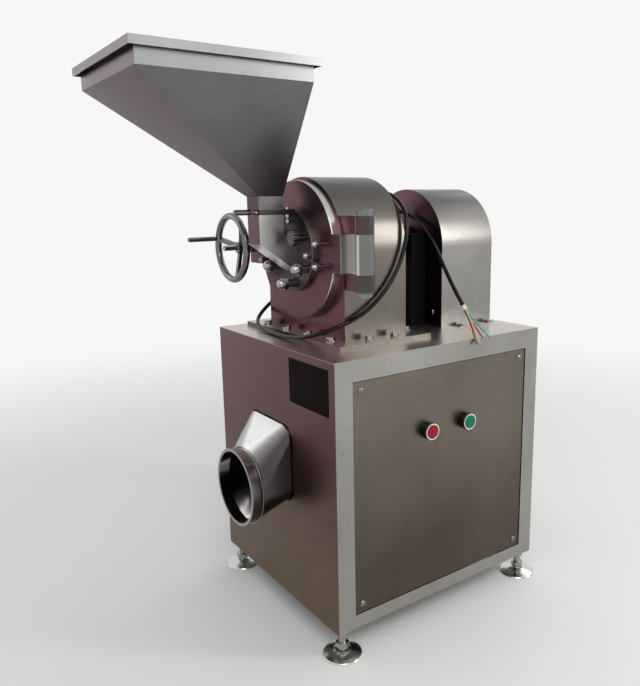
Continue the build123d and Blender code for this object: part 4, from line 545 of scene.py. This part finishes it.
STRANDS = 7
STRAND_R = 0.42 * MM
STRAND_ROOT = 1.5 * MM
STRAND_LENGTH = 6.0 * MM
STRAND_SIDES = 6
STRAND_STEPS = 4
STRAND_REACH = 0.82
STRAND_UNEVEN = 0.18
STRAND_PHASE = 2.4
STRAND_PINCH = 0.55
STRAND_SPLAY = 0.75
TAPE_LENGTH = 13.0 * MM
TAPE_R = CABLE_R + 0.55 * MM
TAPE_INSIDE = CABLE_R - 0.4 * MM
TAPE_LAP = 0.045
TAPE_LAP_ANGLE = 0.95 * pi
TAPE_RIPPLE = 0.008
TAPE_RIPPLES = 5.0


def wound(angle):
    """A last turn of tape that stands proud over part of the way round."""
    last_turn = TAPE_LAP if angle < TAPE_LAP_ANGLE else 0.0
    return 1.0 + last_turn + TAPE_RIPPLE * sin(TAPE_RIPPLES * angle)


jacket_points = [placed(p) for p in CABLE_ROUTE]
jacket = cord_curve("cable_jacket", jacket_points, CABLE_R, "jacket")
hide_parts("power_cable")
jacket_end = jacket_points[-1]
jacket_way = (jacket_points[-1] - jacket_points[-2]).normalized()
tape_profile = [
    (-TAPE_LENGTH, TAPE_INSIDE), (-TAPE_LENGTH, TAPE_R - 0.1 * MM), (-TAPE_LENGTH + 0.3 * MM, TAPE_R),
    (-0.3 * MM, TAPE_R), (0.4 * MM, TAPE_R - 0.5 * MM), (0.4 * MM, TAPE_INSIDE),
]
tape = made_piece(
    "cable_tape", turned_ring("cable_tape", jacket_end, jacket_way, tape_profile, 48, wound), "tape",
)
route_length(jacket)
end_x = Vector((0, 0, 1)).cross(jacket_way).normalized()
end_y = jacket_way.cross(end_x)
for core_name, (a, b, near, last) in CORE_ENDS.items():
    offset = (end_x * a + end_y * b) * CORE_SPREAD * MM
    start = jacket_end + offset
    core_points = [start, start + jacket_way * CORE_EXIT * MM, placed(near), placed(last)]
    core = cord_curve(core_name, core_points, CORE_R, core_name)
    core_way = (core_points[-1] - core_points[-2]).normalized()
    strands_name = core_name + "_strands"
    strands_mesh = strand_bundle(strands_name, core_points[-1], core_way, CORE_R * 0.55, STRAND_LENGTH)
    strands = made_piece(strands_name, strands_mesh, "copper")
    route_length(core)
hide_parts("cable_cores")

# Weld bead where the spigot meets the outlet duct
ring_low, ring_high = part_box("outlet_ring")
BEAD_R = 1.6 * MM
BEAD_RIPPLE = 0.0022
BEAD_RIPPLES = 96.0
bead_centre = Vector(((ring_low[0] + ring_high[0]) / 2, ring_high[1], (ring_low[2] + ring_high[2]) / 2))
bead_middle = (ring_high[0] - ring_low[0]) / 2 - 0.4 * MM
bead_profile = [(BEAD_R * cos(tau * k / 8), bead_middle + BEAD_R * sin(tau * k / 8)) for k in range(8)]


def rippled(angle):
    """The small waves of a hand-laid weld."""
    return 1.0 + BEAD_RIPPLE * sin(BEAD_RIPPLES * angle)


bead = made_piece(
    "spigot_weld", turned_ring("spigot_weld", bead_centre, Vector((0, 1, 0)), bead_profile, 384, rippled),
    "spigot",
)


# Floor, world and lamps
def soft_lamp(name, place, aim, width, height, power, colour=(1.0, 1.0, 1.0)):
    lamp = bpy.data.lights.new(name, "AREA")
    lamp.shape = "RECTANGLE"
    lamp.size = width
    lamp.size_y = height
    lamp.energy = power
    lamp.color = colour
    holder = bpy.data.objects.new(name, lamp)
    bpy.context.scene.collection.objects.link(holder)
    holder.location = place
    holder.rotation_euler = (Vector(aim) - Vector(place)).to_track_quat("-Z", "Y").to_euler()
    return holder


middle = Vector((0.0, 0.1, 0.75))
soft_lamp("key_lamp", (2.6, -1.2, 3.0), middle, 1.8, 1.8, 38.0)
soft_lamp("fill_lamp", (-2.8, -2.2, 2.0), middle, 2.0, 1.5, 10.0)
soft_lamp("back_lamp", (-0.5, 3.2, 2.6), middle, 2.4, 1.2, 14.0)
soft_lamp("strip_lamp", (2.3, 2.05, 2.0), Vector((0.1, 0.1, 0.95)), 0.45, 1.6, 26.0)


BACKGROUND = (0.93, 0.93, 0.925)
LIT_STRENGTH = 0.62


class Shading:
    """The same node building for the world, where there is no Principled shader."""

    node = Finish.node
    put = Finish.put

    def __init__(self, tree):
        self.tree = tree
        self.tree.nodes.clear()

    def seen(self):
        """1 for the rays that show the background: the camera's, reflected and passed through."""
        made = self.node("ShaderNodeLightPath", {}, {})
        ray_names = ("Is Camera Ray", "Is Glossy Ray", "Is Transmission Ray")
        rays = [Value(self, made.outputs[ray_name]) for ray_name in ray_names]
        return rays[0].maths("MAXIMUM", rays[1]).maths("MAXIMUM", rays[2])

    def mixed(self, factor, first, second):
        made = self.node("ShaderNodeMixShader", {}, {"Fac": factor})
        self.tree.links.new(first.outputs[0], made.inputs[1])
        self.tree.links.new(second.outputs[0], made.inputs[2])
        return made


world = bpy.data.worlds.new("studio")
world.use_nodes = True
bpy.context.scene.world = world
sky = Shading(world.node_tree)
shown = sky.node("ShaderNodeBackground", {}, {"Color": BACKGROUND, "Strength": 1.0})
lit = sky.node("ShaderNodeBackground", {}, {"Color": BACKGROUND, "Strength": LIT_STRENGTH})
sky_out = sky.node("ShaderNodeOutputWorld", {}, {})
sky.tree.links.new(sky.mixed(sky.seen(), lit, shown).outputs[0], sky_out.inputs["Surface"])

# The floor goes over into the background a few metres out
FLOOR_SPAN = 14.0
floor_material = bpy.data.materials.new("pale_floor")
floor_material.use_nodes = True
ground = Shading(floor_material.node_tree)
floor_place = Value(ground, ground.node("ShaderNodeTexCoord", {}, {}).outputs["Object"])
distance = ground.node("ShaderNodeVectorMath", {"operation": "LENGTH"}, {0: floor_place})
far_out = Value(ground, distance.outputs["Value"]).ramp(1.2, 4.0)
near_floor = ground.node(
    "ShaderNodeBsdfPrincipled", {}, {"Base Color": (0.84, 0.84, 0.835), "Roughness": 0.7},
)
open_floor = ground.node("ShaderNodeEmission", {}, {"Color": BACKGROUND, "Strength": 1.0})
floor_out = ground.node("ShaderNodeOutputMaterial", {}, {})
floor_shader = ground.mixed(far_out * ground.seen(), near_floor, open_floor)
ground.tree.links.new(floor_shader.outputs[0], floor_out.inputs["Surface"])
floor_mesh = bpy.data.meshes.new("floor")
corners = [(a * FLOOR_SPAN, b * FLOOR_SPAN, 0.0) for a, b in ((-1, -1), (1, -1), (1, 1), (-1, 1))]
floor_mesh.from_pydata(corners, [], [(0, 1, 2, 3)])
floor_mesh.materials.append(floor_material)
floor = bpy.data.objects.new("floor", floor_mesh)
bpy.context.scene.collection.objects.link(floor)

# Camera at the photograph's place
CAMERA_PLACE = placed((1568.14, -994.29, 1113.94))
CAMERA_TURN = radians(54.63)
CAMERA_FALL = radians(11.09)
CAMERA_ROLL = radians(-0.83)
CAMERA_FOCUS = 680.22
PRINCIPAL_X = 350.75
PRINCIPAL_Y = 334.72
PICTURE_WIDTH = 640
PICTURE_HEIGHT = 686

back = Vector((
    sin(CAMERA_TURN) * cos(CAMERA_FALL), -cos(CAMERA_TURN) * cos(CAMERA_FALL), sin(CAMERA_FALL),
))
level = Vector((cos(CAMERA_TURN), sin(CAMERA_TURN), 0.0))
upward = back.cross(level)
right = level * cos(CAMERA_ROLL) + upward * sin(CAMERA_ROLL)
up = upward * cos(CAMERA_ROLL) - level * sin(CAMERA_ROLL)
lens = bpy.data.cameras.new("camera")
lens.sensor_width = 36.0
lens.lens = CAMERA_FOCUS / PICTURE_HEIGHT * lens.sensor_width
lens.shift_x = (PICTURE_WIDTH / 2 - PRINCIPAL_X) / PICTURE_HEIGHT
lens.shift_y = (PRINCIPAL_Y - PICTURE_HEIGHT / 2) / PICTURE_HEIGHT
camera = bpy.data.objects.new("camera", lens)
bpy.context.scene.collection.objects.link(camera)
camera.matrix_world = Matrix.Translation(CAMERA_PLACE) @ Matrix((right, up, back)).transposed().to_4x4()
bpy.context.scene.camera = camera
bpy.context.scene.view_settings.view_transform = "Standard"
